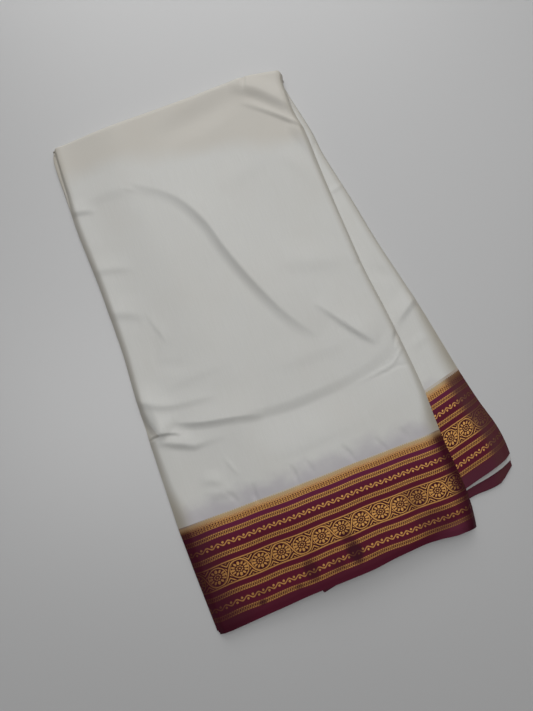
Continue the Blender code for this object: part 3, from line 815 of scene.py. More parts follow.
@dataclass
class BackGround(Back):
    """The ivory ground of the back half."""

    # Where the cloth is read from, and how near the border's line it may come
    border_line: float = -0.15
    least_above: float = -0.012

    def ends(self, run: Grid) -> tuple[Grid, Grid]:
        """Where a row ends along the left and right edges."""
        return (mix(STRIP.back_border_left, STRIP.back_top_end, run),
                mix(STRIP.back_border_right, STRIP.back_top_end, run))

    def cut(self, across: Grid, points: Grid) -> Grid:
        """Places on the cut cloth, above the border's line."""
        down = self.border_line - points[..., 1]
        return np.stack((across, np.minimum(down, self.least_above)), axis=-1)


@dataclass
class BackBorder(Back):
    """The border of the back half, from one of its hems to its line."""

    hem: Curve = STRIP.hem_outer
    inset: float = 0.0
    # The pattern's height, how far it is set down from the line and in from the hem
    woven_height: float = 0.1085
    start_lowered: float = 0.0018
    hem_turned: float = 0.004
    # The border's line, and the place and pitch of its wheels
    line_from: float = -0.080
    line_length: float = 0.2493
    wheel_at: float = 0.1277
    wheel_pitch: float = 0.0204

    def hem_inset(self, inset: float) -> "BackBorder":
        """The same border with its hem drawn in."""
        return BackBorder(hem=self.hem, inset=inset)

    def ends(self, run: Grid) -> tuple[Grid, Grid]:
        """Where a row ends along the left and right edges."""
        return (mix(self.hem.rows[0][1] + self.inset, STRIP.back_border_left, run),
                mix(self.hem.rows[-1][1] + self.inset, STRIP.back_border_right, run))

    def along(self, across: Grid, run: Grid) -> Grid:
        """The place along of a point on a row, which bends to the hem's own line.

        Args:
            across: places across the strip.
            run: runs along the stretch.

        Returns:
            A place along for each.
        """
        (first, first_hem), (last, last_hem) = self.hem.rows[0], self.hem.rows[-1]
        straight = mix(first_hem, last_hem, (across - first) / (last - first))
        return super().along(across, run) + (self.hem.at(across) - straight) * (1.0 - run)

    def cut(self, across: Grid, points: Grid) -> Grid:
        """Places on the cut cloth, so that the pattern falls where the back half shows it.

        Args:
            across: places across the strip.
            points: the points of those places.

        Returns:
            Across the pattern and down from its line, in metres.
        """
        share = (across - self.line_from) / self.line_length
        top = mix(STRIP.back_border_left, STRIP.back_border_right, share)
        shown = top - STRIP.hem_outer.at(across) - self.hem_turned
        down = (top - points[..., 1] - self.start_lowered) / shown * self.woven_height
        count = (across - self.wheel_at) / self.wheel_pitch + 0.5
        return np.stack((count * PATTERN_PITCH * MM, down), axis=-1)


def make_piece(name: str, node: str, patches: list[Patch], finish: bpy.types.Material,
               wall: float = 0.0) -> bpy.types.Object:
    """One dressed object from grids, in place of a node of the frame.

    Args:
        name: name of the piece.
        node: node that it stands for.
        patches: its grids.
        finish: its material.
        wall: thickness that a sheet gets on its inner side, or 0 for closed folds.

    Returns:
        The object.
    """
    points, faces, cuts, rims = [], [], [], []
    for patch in patches:
        rows, columns = patch.points.shape[:2]
        index = np.arange(rows * columns).reshape(rows, columns) + sum(len(part) for part in points)
        square = (index[:-1, :-1], index[:-1, 1:], index[1:, 1:], index[1:, :-1])
        quads = np.stack(square, axis=-1).reshape(-1, 4)
        faces.append(quads if patch.faces_up else quads[:, ::-1])
        points.append(patch.points.reshape(-1, 3))
        cuts.append(patch.cut.reshape(-1, 2))
        rims.append(patch.rims.reshape(-1, 2))
    data = bpy.data.meshes.new(name)
    data.from_pydata(np.concatenate(points).tolist(), [], np.concatenate(faces).tolist())
    corners = np.empty(len(data.loops), dtype=np.int32)
    data.loops.foreach_get("vertex_index", corners)
    for label, values in ((CUT_MAP, cuts), (RIM_MAP, rims)):
        layer = data.uv_layers.new(name=label)
        layer.data.foreach_set("uv", np.concatenate(values)[corners].astype(np.float32).ravel())
    shell = bmesh.new()
    shell.from_mesh(data)
    bmesh.ops.remove_doubles(shell, verts=shell.verts, dist=WELD)
    bmesh.ops.dissolve_degenerate(shell, edges=shell.edges, dist=SLIVER)
    for face in shell.faces:
        face.smooth = True
    for edge in shell.edges:
        edge.smooth = not edge.is_boundary
    shell.to_mesh(data)
    shell.free()
    piece = bpy.data.objects.new(name, data)
    bpy.context.scene.collection.objects.link(piece)
    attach(piece, "root")
    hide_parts(node)
    data.materials.append(finish)
    if wall:
        give_wall(piece, wall)
    log.info("%s: %d faces", name, len(data.polygons))
    return piece


def give_wall(piece: bpy.types.Object, thickness: float) -> None:
    """Give a sheet its thickness, on its inner side.

    Args:
        piece: the sheet.
        thickness: how thick it gets.
    """
    wall = piece.modifiers.new("wall", "SOLIDIFY")
    wall.thickness = thickness
    wall.offset = -1.0


class Signal:
    """A number that changes over the surface, on which plain arithmetic works."""

    def __init__(self, tree: bpy.types.NodeTree, socket: bpy.types.NodeSocket) -> None:
        """Hold a socket of a node tree."""
        self.tree = tree
        self.socket = socket

    def math(self, operation: str, *others: "Signal | float") -> "Signal":
        """A math node on this value and up to two others.

        Args:
            operation: Blender's name of the operation.
            others: its other inputs.

        Returns:
            The result.
        """
        node = self.tree.nodes.new("ShaderNodeMath")
        node.operation = operation
        for index, value in enumerate((self, *others)):
            if isinstance(value, Signal):
                self.tree.links.new(value.socket, node.inputs[index])
            else:
                node.inputs[index].default_value = value
        return Signal(self.tree, node.outputs[0])

    def __add__(self, other: "Signal | float") -> "Signal":
        """Sum."""
        return self.math("ADD", other)

    def __sub__(self, other: "Signal | float") -> "Signal":
        """Difference."""
        return self.math("SUBTRACT", other)

    def __mul__(self, other: "Signal | float") -> "Signal":
        """Product."""
        return self.math("MULTIPLY", other)

    def __truediv__(self, other: "Signal | float") -> "Signal":
        """Quotient."""
        return self.math("DIVIDE", other)

    def __abs__(self) -> "Signal":
        """Size without its sign."""
        return self.math("ABSOLUTE")

    def invert(self) -> "Signal":
        """One less this value."""
        return self.math("MULTIPLY_ADD", -1.0, 1.0)

    def sine(self) -> "Signal":
        """Sine of an angle in radians."""
        return self.math("SINE")

    def fraction(self) -> "Signal":
        """What is left past the whole number below."""
        return self.math("FRACT")

    def centred(self, pitch: float, shift: float = 0.0) -> "Signal":
        """Distance, with its sign, from the nearest middle of a repeat."""
        return ((self / pitch + shift).fraction() - 0.5) * pitch

    def reach(self, other: "Signal") -> "Signal":
        """Length of the two values as sides of a right angle."""
        return (self * self + other * other).math("SQRT")

    def ramp(self, low: float, high: float) -> "Signal":
        """Soft ramp from 0 at low to 1 at high, or the other way where high is the smaller.

        Args:
            low: value where the result is 0.
            high: value where it is 1.

        Returns:
            The ramp.
        """
        node = self.tree.nodes.new("ShaderNodeMapRange")
        node.interpolation_type = "SMOOTHSTEP"
        self.tree.links.new(self.socket, node.inputs["Value"])
        node.inputs["From Min"].default_value = min(low, high)
        node.inputs["From Max"].default_value = max(low, high)
        node.inputs["To Min"].default_value = 0.0 if low < high else 1.0
        node.inputs["To Max"].default_value = 1.0 if low < high else 0.0
        return Signal(self.tree, node.outputs["Result"])

    def below(self, limit: float, soft: float = 0.18) -> "Signal":
        """1 where the value is under a limit, with a soft edge."""
        return self.ramp(limit + soft, limit - soft)

    def band(self, low: float, high: float, soft: float = 0.2) -> "Signal":
        """1 between two limits, with soft edges."""
        return abs(self - (low + high) / 2).below((high - low) / 2, soft)

    def union(self, *others: "Signal") -> "Signal":
        """The largest of several values.

        Args:
            others: the values besides this one.

        Returns:
            The largest.
        """
        result = self
        for other in others:
            result = result.math("MAXIMUM", other)
        return result


@dataclass
class Weaver:
    """Builds a node tree, either a shader group or a material's own."""

    tree: bpy.types.NodeTree

    @staticmethod
    def group(name: str, takes: tuple[str, ...], gives: tuple[str, ...]) -> "Weaver":
        """A new shader group.

        Args:
            name: its name.
            takes: names of its inputs.
            gives: names of its outputs.

        Returns:
            A weaver for the group's tree.
        """
        tree = bpy.data.node_groups.new(name, "ShaderNodeTree")
        for direction, labels in (("INPUT", takes), ("OUTPUT", gives)):
            for label in labels:
                tree.interface.new_socket(name=label, in_out=direction, socket_type="NodeSocketFloat")
        tree.nodes.new("NodeGroupInput")
        tree.nodes.new("NodeGroupOutput")
        return Weaver(tree)

    def taken(self, label: str) -> Signal:
        """One of the group's inputs."""
        return Signal(self.tree, self.tree.nodes["Group Input"].outputs[label])

    def give(self, label: str, value: Signal) -> None:
        """Set one of the group's outputs."""
        self.tree.links.new(value.socket, self.tree.nodes["Group Output"].inputs[label])

    def place(self, group: "Weaver", **values: "Signal | float") -> dict[str, Signal]:
        """Put a group in this tree.

        Args:
            group: the group.
            values: its inputs by name.

        Returns:
            Its outputs by name.
        """
        node = self.tree.nodes.new("ShaderNodeGroup")
        node.node_tree = group.tree
        for label, value in values.items():
            self.feed(value, node.inputs[label])
        return {socket.name: Signal(self.tree, socket) for socket in node.outputs}

    def feed(self, value: "Signal | float", socket: bpy.types.NodeSocket) -> None:
        """Link or set an input.

        Args:
            value: what goes in.
            socket: the input.
        """
        if isinstance(value, Signal):
            self.tree.links.new(value.socket, socket)
        else:
            socket.default_value = value

    def cloth_place(self, label: str) -> tuple[Signal, Signal]:
        """The two values of one of the cloth's maps, in millimetres.

        Args:
            label: the map's name.

        Returns:
            Its two values at each place.
        """
        source = self.tree.nodes.new("ShaderNodeUVMap")
        source.uv_map = label
        split = self.tree.nodes.new("ShaderNodeSeparateXYZ")
        self.tree.links.new(source.outputs["UV"], split.inputs["Vector"])
        return (Signal(self.tree, split.outputs["X"]) / MM, Signal(self.tree, split.outputs["Y"]) / MM)

    def noise(self, across: Signal, down: Signal, scale: tuple[float, float], detail: float = 2.0) -> Signal:
        """Uneven value from 0 to 1.

        Args:
            across: place across the cloth, in millimetres.
            down: place down the cloth, in millimetres.
            scale: size of a patch across and down, in millimetres.
            detail: how much finer noise it holds.

        Returns:
            The value.
        """
        joined = self.tree.nodes.new("ShaderNodeCombineXYZ")
        self.feed(across / scale[0], joined.inputs["X"])
        self.feed(down / scale[1], joined.inputs["Y"])
        node = self.tree.nodes.new("ShaderNodeTexNoise")
        node.inputs["Scale"].default_value = 1.0
        node.inputs["Detail"].default_value = detail
        self.tree.links.new(joined.outputs["Vector"], node.inputs["Vector"])
        return Signal(self.tree, node.outputs["Fac"])

    def colour_mix(self, share: Signal, start: "tuple | bpy.types.NodeSocket",
                   end: "tuple | bpy.types.NodeSocket") -> bpy.types.NodeSocket:
        """A colour between two others.

        Args:
            share: how much of the second.
            start: the first, as a value or a socket.
            end: the second, as a value or a socket.

        Returns:
            The mixed colour's socket.
        """
        node = self.tree.nodes.new("ShaderNodeMix")
        node.data_type = "RGBA"
        self.tree.links.new(share.socket, node.inputs[0])
        for value, socket in ((start, node.inputs[6]), (end, node.inputs[7])):
            if isinstance(value, tuple):
                socket.default_value = (*value, 1.0)
            else:
                self.tree.links.new(value, socket)
        return node.outputs[2]


def rope_group() -> Weaver:
    """A narrow band of two rows of beads with slanted dashes between them, 4.7 mm high."""
    pitch, middle = 2.5, 2.35
    weaver = Weaver.group("rope_band", ("Across", "Down"), ("Mask",))
    across, down = weaver.taken("Across"), weaver.taken("Down") - middle
    uneven = weaver.noise(across, down, (2.4, 1.8), 1.0).ramp(0.1, 0.5)
    dashes = abs((across + down * 0.4).centred(pitch)).below(0.7, 0.4) * uneven
    notches = abs(across.centred(pitch, 0.5)).below(0.45, 0.3)
    outer = abs(down).ramp(0.9, 1.35)
    beads = outer * (notches * 0.75).invert()
    inner = outer.invert() * dashes.invert() * 0.72
    mask = abs(down).below(2.3, 0.35) * beads.union(inner)
    weaver.give("Mask", mask)
    return weaver


def vine_group() -> Weaver:
    """A wavy stem with a round bud in each bend, 5 mm high."""
    pitch, first, middle = 11.0, 1.7, 2.75
    bend, bud_radius, bud_off = 1.5, 1.15, 1.35
    weaver = Weaver.group("vine_band", ("Across", "Down"), ("Mask",))
    across, down = weaver.taken("Across") - first, weaver.taken("Down") - middle
    swing = (across * (FULL_TURN / pitch)).sine()
    stem = abs(down - swing * bend).below(0.72, 0.2) * 0.82
    upper = across.centred(pitch, 0.25).reach(down + bud_off).below(bud_radius, 0.2)
    lower = across.centred(pitch, 0.75).reach(down - bud_off).below(bud_radius, 0.2)
    weaver.give("Mask", stem.union(upper, lower))
    return weaver


def medallion_group() -> Weaver:
    """A row of daisy wheels, wider than tall, each in a ring, with a line that winds between them."""
    middle, ring_radius, bead_radius = 10.9, 9.1, 2.6
    petal_count, leading_count, bead_count = 12.0, 4.0, 8.0
    petal_radius, petal_wide, petal_long = 6.1, 0.95, 1.8
    # The winding line swings this far, and is flatter at its tops the smaller its roundness is
    wind, roundness = 9.2, 0.36
    weaver = Weaver.group("medallion_band", ("Across", "Down"), ("Mask",))
    across, from_top = weaver.taken("Across"), weaver.taken("Down")
    down = from_top - middle
    side = across.centred(PATTERN_PITCH)
    wide, tall = side * 0.87, down * 1.15
    radius = wide.reach(tall)
    angle = tall.math("ARCTAN2", wide) / FULL_TURN
    spoke = abs((angle * petal_count + 0.5).fraction() - 0.5) * radius * (FULL_TURN / petal_count)
    leading = abs((angle * leading_count + 0.5).fraction() - 0.5).below(0.17, 0.01)
    petal_across = spoke / (leading * 0.3 + petal_wide)
    petals = petal_across.reach((radius - petal_radius) / (leading * 0.25 + petal_long)).below(1.0, 0.2)
    bead = abs((angle * bead_count).fraction() - 0.5).below(0.34, 0.1)
    centre = (abs(radius - bead_radius).below(0.55, 0.2) * bead).union(radius.below(0.8, 0.2))
    turn = across * (pi / PATTERN_PITCH)
    swing = turn.sine()
    steep = (swing * swing * (1.0 - roundness) + roundness).math("SQRT")
    stem = swing / steep * wind
    slope = (turn + pi / 2).sine() * (wind * roundness * pi / PATTERN_PITCH) / (steep * steep * steep)
    away = abs(down - stem) / (slope * slope + 1.0).math("SQRT")
    outer = side.reach(down * 1.06)
    ring = abs(outer - ring_radius).below(0.48, 0.15) * away.ramp(1.1, 1.4)
    leaves = abs((abs(side) * 0.75 + abs(down) * 0.9).centred(3.0)).below(0.62, 0.15)
    filler = leaves * outer.ramp(10.0, 10.4) * away.ramp(1.3, 1.7)
    inside = from_top.band(1.6, 20.2)
    pattern = petals.union(centre, away.below(0.62, 0.15), filler, ring) * inside
    edges = from_top.band(-0.3, 0.9).union(from_top.band(20.8, 22.1)) * 0.85
    weaver.give("Mask", pattern.union(edges))
    return weaver


def fringe_group() -> Weaver:
    """The border's start, 12 mm high: strokes that fade into the ground, then arches, then drops."""
    stroke_pitch, lattice_pitch, arch_pitch, drop_pitch = 2.5, 2.4, 5.0, 2.9
    arch_middle, arch_radius = 8.2, 2.5
    drop_middle, drop_wide, drop_high = 9.3, 1.12, 2.1
    weaver = Weaver.group("border_start", ("Across", "Down"), ("Mask", "Pale", "Ivory"))
    across, down = weaver.taken("Across"), weaver.taken("Down")
    ragged = weaver.noise(across, down, (0.9, 40.0), 1.0) * 2.2 + abs(across.centred(stroke_pitch)) * 0.9
    strokes = (down - ragged + 1.0).ramp(0.0, 0.8) * down.below(11.6, 0.25)
    falling = abs((across + down).centred(lattice_pitch)).below(0.3, 0.2)
    lattice = falling * abs((across - down).centred(lattice_pitch)).below(0.5, 0.3)
    arch = across.centred(arch_pitch).reach(down - arch_middle)
    arches = abs(arch - arch_radius).below(0.3, 0.2) * down.below(7.0, 0.3) * 0.6
    drop = (across.centred(drop_pitch) / drop_wide).reach((down - drop_middle) / drop_high)
    drops = drop.below(1.0, 0.2) * drop.ramp(0.25, 0.5)
    comb = down.ramp(6.9, 7.4)
    holes = (lattice * down.band(3.5, 6.8, 0.4)).union(arches) * 0.85
    floor = down.band(11.2, 11.9) * 0.9
    mask = (strokes * holes.invert() * comb.invert()).union(drops * comb * 0.9, floor)
    weaver.give("Mask", mask)
    weaver.give("Pale", down.ramp(8.5, 1.5))
    weaver.give("Ivory", (down - ragged * 0.5).ramp(2.2, 0.4))
    return weaver


# Where the border's bands start, down from its line, and how bright the beaded ones are
WHEELS_FROM = 46.8
ROPES = ((16.8, 1.0), (36.6, 0.95), (73.9, 0.95), (93.2, 0.8))
VINES = (26.5, 83.7)


def chart_group() -> Weaver:
    """The whole woven border, read in millimetres across the cloth and down from the border's line."""
    weaver = Weaver.group("border_chart", ("Across", "Down"), ("Gold", "Pale", "Purple", "Ivory", "Deep"))
    across, down = weaver.taken("Across"), weaver.taken("Down")
    rope, vine = rope_group(), vine_group()
    start = weaver.place(fringe_group(), Across=across, Down=down)
    wheel = weaver.place(medallion_group(), Across=across, Down=down - WHEELS_FROM)["Mask"]
    gold = start["Mask"].union(wheel * down.band(46.3, 69.1))
    # Bands where shade is painted on the ground between the gold threads
    deep = down.band(46.7, 68.7).union(down.band(7.0, 11.7))
    for top, brightness in ROPES:
        gold = gold.union(weaver.place(rope, Across=across, Down=down - top)["Mask"] * brightness)
        deep = deep.union(down.band(top + 0.2, top + 4.5))
    for top in VINES:
        gold = gold.union(weaver.place(vine, Across=across, Down=down - top)["Mask"])
    weaver.give("Gold", gold)
    weaver.give("Pale", start["Pale"])
    weaver.give("Purple", down.ramp(34.0, 10.0))
    weaver.give("Ivory", start["Ivory"])
    weaver.give("Deep", deep)
    return weaver


def thread_group() -> Weaver:
    """Crossing threads of a plain silk weave, and the soft unevenness of crepe."""
    weaver = Weaver.group("silk_threads", ("Across", "Down", "Pitch"), ("Height", "Tone"))
    across, down, pitch = weaver.taken("Across"), weaver.taken("Down"), weaver.taken("Pitch")
    warp = (across / pitch * FULL_TURN).sine()
    weft = (down / pitch * FULL_TURN).sine()
    crepe = weaver.noise(across, down, (1.1, 1.6), 3.0)
    slubs = weaver.noise(across, down, (1.2, 26.0), 2.0)
    weaver.give("Height", (warp * weft) * 0.35 + crepe + slubs * 0.35)
    weaver.give("Tone", (crepe - 0.5) * 0.5 + (slubs - 0.5) * 0.6 + 0.5)
    return weaver


@dataclass(frozen=True)
class Shade:
    """A colour as linear red, green and blue."""

    red: float
    green: float
    blue: float

    @staticmethod
    def screen(red: int, green: int, blue: int) -> "Shade":
        """A colour from screen values between 0 and 255.

        Args:
            red: its red value.
            green: its green value.
            blue: its blue value.

        Returns:
            The colour.
        """
        shares = [value / 255 for value in (red, green, blue)]
        linear = [share / 12.92 if share <= 0.04045 else ((share + 0.055) / 1.055) ** 2.4 for share in shares]
        return Shade(*linear)

    @property
    def rgb(self) -> tuple[float, float, float]:
        """The three values."""
        return (self.red, self.green, self.blue)


class Side(Enum):
    """Which half of the bundle a finish is for."""

    FRONT = "front"
    BACK = "back"


@dataclass(frozen=True)
class Silk:
    """The ivory crepe silk of the ground. Its sizes are in millimetres, down from the border's line."""

    light: Shade = Shade.screen(225, 225, 221)
    dark: Shade = Shade.screen(213, 212, 207)
    # Warm darker tint: uneven tone where it follows the clouds, painted shade near the folded edge
    warm: Shade = Shade.screen(211, 206, 196)
    # Cool darker tint above the border: partly the border showing through, partly painted shade
    cool: Shade = Shade.screen(194, 190, 193)
    # Painted shade: the darker brown that stands for shade along the side folds and on the pinch's facet
    rim_shade: Shade = Shade.screen(173, 166, 152)
    weave_pitch: float = 0.42
    cloud_size: tuple[float, float] = (70.0, 90.0)
    # The warm painted shade near the folded edge starts here, slants right of a place, and sways with the
    # clouds
    warm_line: tuple[float, float] = (-390.0, -425.0)
    warm_slant: tuple[float, float] = (150.0, 0.27)
    warm_sway: float = 50.0
    # The cool darker tint above the border, partly the border showing through and partly painted shade
    cool_line: tuple[float, float] = (-27.0, 2.0)
    cool_size: tuple[float, float] = (24.0, 18.0)
    cool_sway: float = 26.0
    # Painted shade along the side folds, and on the facet of the pinch, bounded by a slanting side and a foot
    rim_shade_from: float = -50.0
    rim_shade_width: float = 11.0
    facet_top: float = 127.0
    facet_slope: float = 0.43
    facet_foot: tuple[float, float] = (-94.5, -96.5)
    # How strongly shade is painted on the facet, which only the front half has
    facet_shade: float = 0.5
    roughness: float = 0.6
    sheen: float = 0.15
    sheen_roughness: float = 0.4
    bump: tuple[float, float] = (0.25, 0.00012)

    def material(self, name: str, threads: Weaver) -> bpy.types.Material:
        """Make the material.

        Args:
            name: its name.
            threads: the weave's group.

        Returns:
            The material.
        """
        made, weaver, shader = new_material(name)
        across, down = weaver.cloth_place(CUT_MAP)
        weave = weaver.place(threads, Across=across, Down=down, Pitch=self.weave_pitch)
        cloud = weaver.noise(across, down, self.cloud_size, 2.0)
        base = weaver.colour_mix(weave["Tone"], self.dark.rgb, self.light.rgb)
        slant_from, slant = self.warm_slant
        slanted = down - (across.math("MAXIMUM", slant_from) - slant_from) * slant
        # Painted shade: the warm darker tint near the folded edge
        painted_warm_shade = (slanted + (cloud - 0.5) * self.warm_sway).ramp(*self.warm_line)
        warmth = (cloud.ramp(0.4, 0.8) * 0.15) + painted_warm_shade * 0.85
        tinted = weaver.colour_mix(warmth, base, self.warm.rgb)
        patchy = (weaver.noise(across, down, self.cool_size, 2.0) - 0.5) * self.cool_sway
        # Partly painted shade: the cool darker tint above the border
        tinted = weaver.colour_mix((down + patchy).ramp(*self.cool_line), tinted, self.cool.rgb)
        # Painted shade along the side folds and on the pinch's facet
        tinted = weaver.colour_mix(self.rim_shade_mask(weaver, down), tinted, self.rim_shade.rgb)
        weaver.tree.links.new(tinted, shader.inputs["Base Color"])
        shader.inputs["Roughness"].default_value = self.roughness
        shader.inputs["Sheen Weight"].default_value = self.sheen
        shader.inputs["Sheen Roughness"].default_value = self.sheen_roughness
        give_bump(weaver, shader, weave["Height"], *self.bump)
        return made

    def rim_shade_mask(self, weaver: Weaver, down: Signal) -> Signal:
        """How much shade is painted along the side folds, more and wider towards the border, and on the
        pinch's facet.

        Args:
            weaver: the material's weaver.
            down: place down from the border's line.

        Returns:
            A mask.
        """
        from_left, from_right = weaver.cloth_place(RIM_MAP)
        near = down.ramp(self.rim_shade_from, self.rim_shade_from * 0.15)
        wider = near * 1.1 + 1.0
        left, right = [(side / wider).ramp(self.rim_shade_width, 0.0) for side in (from_left, from_right)]
        rim = left.union(right)
        inside = ((down + self.facet_top) * self.facet_slope - from_left).ramp(-1.0, 1.5)
        facet = inside * down.ramp(*self.facet_foot) * from_left.ramp(1.0, 5.0) * self.facet_shade
        return (rim * (near * 0.3 + 0.7)).union(facet)


@dataclass(frozen=True)
class Zari:
    """The maroon border with its gold thread. Its sizes are in millimetres, down from the border's line."""

    side: Side
    maroon: Shade = Shade.screen(93, 22, 43)
    purple: Shade = Shade.screen(106, 34, 65)
    hem: Shade = Shade.screen(84, 25, 43)
    # Painted sheen: a lighter maroon on the right end of the hem
    painted_sheen_hem: Shade = Shade.screen(106, 46, 66)
    gold: Shade = Shade.screen(231, 177, 103)
    deep_gold: Shade = Shade.screen(190, 133, 71)
    pale: Shade = Shade.screen(193, 167, 127)
    ivory: Shade = Shade.screen(204, 196, 184)
    # Painted shade on the ground between the gold threads of the dense bands
    between: Shade = Shade.screen(60, 13, 25)
    # Painted shade along the side folds, and dull spots: duller gold, darker ground and darker ivory
    dull: Shade = Shade.screen(92, 54, 40)
    shaded_ground: Shade = Shade.screen(62, 15, 30)
    shaded_ivory: Shade = Shade.screen(136, 116, 102)
    # How much of the pale gold stays where the border is painted dull and shaded
    pale_kept: float = 0.5
    weave_pitch: float = 0.5
    # Where the plain hem starts, and where a sheen is painted on its right end
    hem_from: tuple[float, float] = (97.0, 100.0)
    painted_sheen_across: tuple[float, float] = (222.0, 265.0)
    painted_sheen_down: tuple[float, float] = (88.0, 98.0)
    roughness: float = 0.42
    gold_smoother: float = 0.12
    metallic: float = 0.85
    specular: float = 0.12
    bump: tuple[float, float] = (0.35, 0.00012)
    # How far in from the rims shade is painted on the border: at the left, at the right, and at the back
    # half's right
    shaded_left: tuple[float, float] = (54.0, 2.0)
    shaded_right: tuple[float, float] = (22.0, 5.0)
    back_shaded: tuple[float, float] = (29.0, 15.0)
    # Over these rows the painted shade at the left side gets wider, by this much
    shaded_widens: tuple[float, float] = (60.0, 95.0)
    shaded_wider: float = 8.0
    # Dull spots: centre across, centre down, half width, half height, strength
    dull_spots: tuple[tuple[float, float, float, float, float], ...] = (
        (150.0, 84.0, 9.0, 14.0, 1.0), (147.0, 68.0, 6.0, 6.0, 0.6), (101.0, 84.0, 8.0, 13.0, 0.75),
        (44.0, 96.0, 4.5, 3.0, 0.9), (47.0, 86.0, 11.0, 5.0, 0.4), (83.5, 96.0, 4.5, 3.0, 0.6),
        (129.0, 90.0, 9.0, 8.0, 0.45), (230.0, 58.0, 15.0, 13.0, 0.35), (243.0, 86.0, 24.0, 14.0, 0.55))

    def material(self, name: str, threads: Weaver, chart: Weaver) -> bpy.types.Material:
        """Make the material.

        Args:
            name: its name.
            threads: the weave's group.
            chart: the pattern's group.

        Returns:
            The material.
        """
        made, weaver, shader = new_material(name)
        across, down = weaver.cloth_place(CUT_MAP)
        from_left, from_right = weaver.cloth_place(RIM_MAP)
        pattern = weaver.place(chart, Across=across, Down=down)
        weave = weaver.place(threads, Across=across, Down=down, Pitch=self.weave_pitch)
        glint = weaver.noise(across, down, (0.7, 0.5), 1.0)
        # Painted shade along the side folds, and a few dull spots, dim the gold, the ground and the ivory
        dull_and_shaded = self.dull_and_shaded(weaver, across, down, from_left, from_right)
        thread = weaver.colour_mix(glint.ramp(0.3, 0.7), self.deep_gold.rgb, self.gold.rgb)
        thread = weaver.colour_mix(pattern["Pale"], thread, self.pale.rgb)
        thread = weaver.colour_mix(dull_and_shaded * (pattern["Pale"] * -self.pale_kept + 1.0), thread, self.dull.rgb)
        ground = weaver.colour_mix(pattern["Purple"], self.maroon.rgb, self.purple.rgb)
        # Painted shade between the gold threads of the dense bands
        ground = weaver.colour_mix(pattern["Deep"] * 0.85, ground, self.between.rgb)
        ground = weaver.colour_mix(down.ramp(*self.hem_from), ground, self.hem.rgb)
        # Painted sheen on the right end of the hem
        painted_sheen = across.ramp(*self.painted_sheen_across) * down.ramp(*self.painted_sheen_down)
        ground = weaver.colour_mix(painted_sheen, ground, self.painted_sheen_hem.rgb)
        # Painted shade darkens the ground along the side folds
        ground = weaver.colour_mix(dull_and_shaded * 0.95, ground, self.shaded_ground.rgb)
        start = weaver.colour_mix(dull_and_shaded, self.ivory.rgb, self.shaded_ivory.rgb)
        ground = weaver.colour_mix(pattern["Ivory"], ground, start)
        gold = pattern["Gold"]
        weaver.tree.links.new(weaver.colour_mix(gold, ground, thread), shader.inputs["Base Color"])
        metal = gold * (pattern["Pale"] * -0.8 + self.metallic) * (dull_and_shaded * -0.5 + 1.0)
        weaver.feed(metal, shader.inputs["Metallic"])
        rough = gold * -self.gold_smoother + (self.roughness + self.gold_smoother)
        weaver.feed(rough, shader.inputs["Roughness"])
        shader.inputs["Specular IOR Level"].default_value = self.specular
        height = weave["Height"] * 0.35 + gold * 0.8 + glint * gold * 0.6
        give_bump(weaver, shader, height, *self.bump)
        return made

    def dull_and_shaded(self, weaver: Weaver, across: Signal, down: Signal, left: Signal, right: Signal) -> Signal:
        """Where the gold is painted dull and dark: painted shade along the side folds, and a few dull spots.

        Args:
            weaver: the material's weaver.
            across: place across the pattern.
            down: place down from the border's line.
            left: distance from the left rim.
            right: distance from the right rim.

        Returns:
            A mask.
        """
        uneven = weaver.noise(across, down, (9.0, 12.0), 3.0) * 12.0 - 6.0
        if self.side is Side.BACK:
            return (right + uneven * 0.5).ramp(*self.back_shaded)
        wider = down.ramp(*self.shaded_widens) * self.shaded_wider
        shaded = (left - wider + uneven * 0.5).ramp(*self.shaded_left)
        shaded = shaded.union((right + uneven * 0.5).ramp(*self.shaded_right))
        for centre_across, centre_down, wide, high, strength in self.dull_spots:
            spot = ((across - centre_across) / wide).reach((down - centre_down) / high) + uneven * 0.05
            shaded = shaded.union(spot.ramp(1.3, 0.5) * strength)
        return shaded


@dataclass(frozen=True)
class Selvedge:
    """The pale plain edge between the hems, with its fine cross ribs."""

    light: Shade = Shade.screen(214, 214, 212)
    dark: Shade = Shade.screen(176, 174, 172)
    weave_pitch: float = 0.5
    rib_pitch: float = 1.25
    rib_slant: float = 0.35
    roughness: float = 0.65
    bump: tuple[float, float] = (0.4, 0.00015)

    def material(self, name: str, threads: Weaver) -> bpy.types.Material:
        """Make the material.

        Args:
            name: its name.
            threads: the weave's group.

        Returns:
            The material.
        """
        made, weaver, shader = new_material(name)
        across, down = weaver.cloth_place(CUT_MAP)
        weave = weaver.place(threads, Across=across, Down=down, Pitch=self.weave_pitch)
        ribs = ((across + down * self.rib_slant) * (FULL_TURN / self.rib_pitch)).sine() * 0.5 + 0.5
        shade = weaver.colour_mix(ribs * 0.6 + weave["Tone"] * 0.3, self.dark.rgb, self.light.rgb)
        weaver.tree.links.new(shade, shader.inputs["Base Color"])
        shader.inputs["Roughness"].default_value = self.roughness
        give_bump(weaver, shader, ribs + weave["Height"] * 0.4, *self.bump)
        return made


def new_material(name: str) -> tuple[bpy.types.Material, Weaver, bpy.types.Node]:
    """A material with its own node tree.

    Args:
        name: its name.

    Returns:
        The material, a weaver for its tree, and its surface shader.
    """
    made = bpy.data.materials.new(name)
    made.use_nodes = True
    return made, Weaver(made.node_tree), made.node_tree.nodes["Principled BSDF"]


def give_bump(weaver: Weaver, shader: bpy.types.Node, height: Signal, strength: float,
              distance: float) -> None:
    """Let a height roughen a surface.

    Args:
        weaver: the material's weaver.
        shader: its surface shader.
        height: the height.
        strength: how strongly it shows.
        distance: how deep it is, in metres.
    """
    bump = weaver.tree.nodes.new("ShaderNodeBump")
    bump.inputs["Strength"].default_value = strength
    bump.inputs["Distance"].default_value = distance
    weaver.tree.links.new(height.socket, bump.inputs["Height"])
    weaver.tree.links.new(bump.outputs["Normal"], shader.inputs["Normal"])


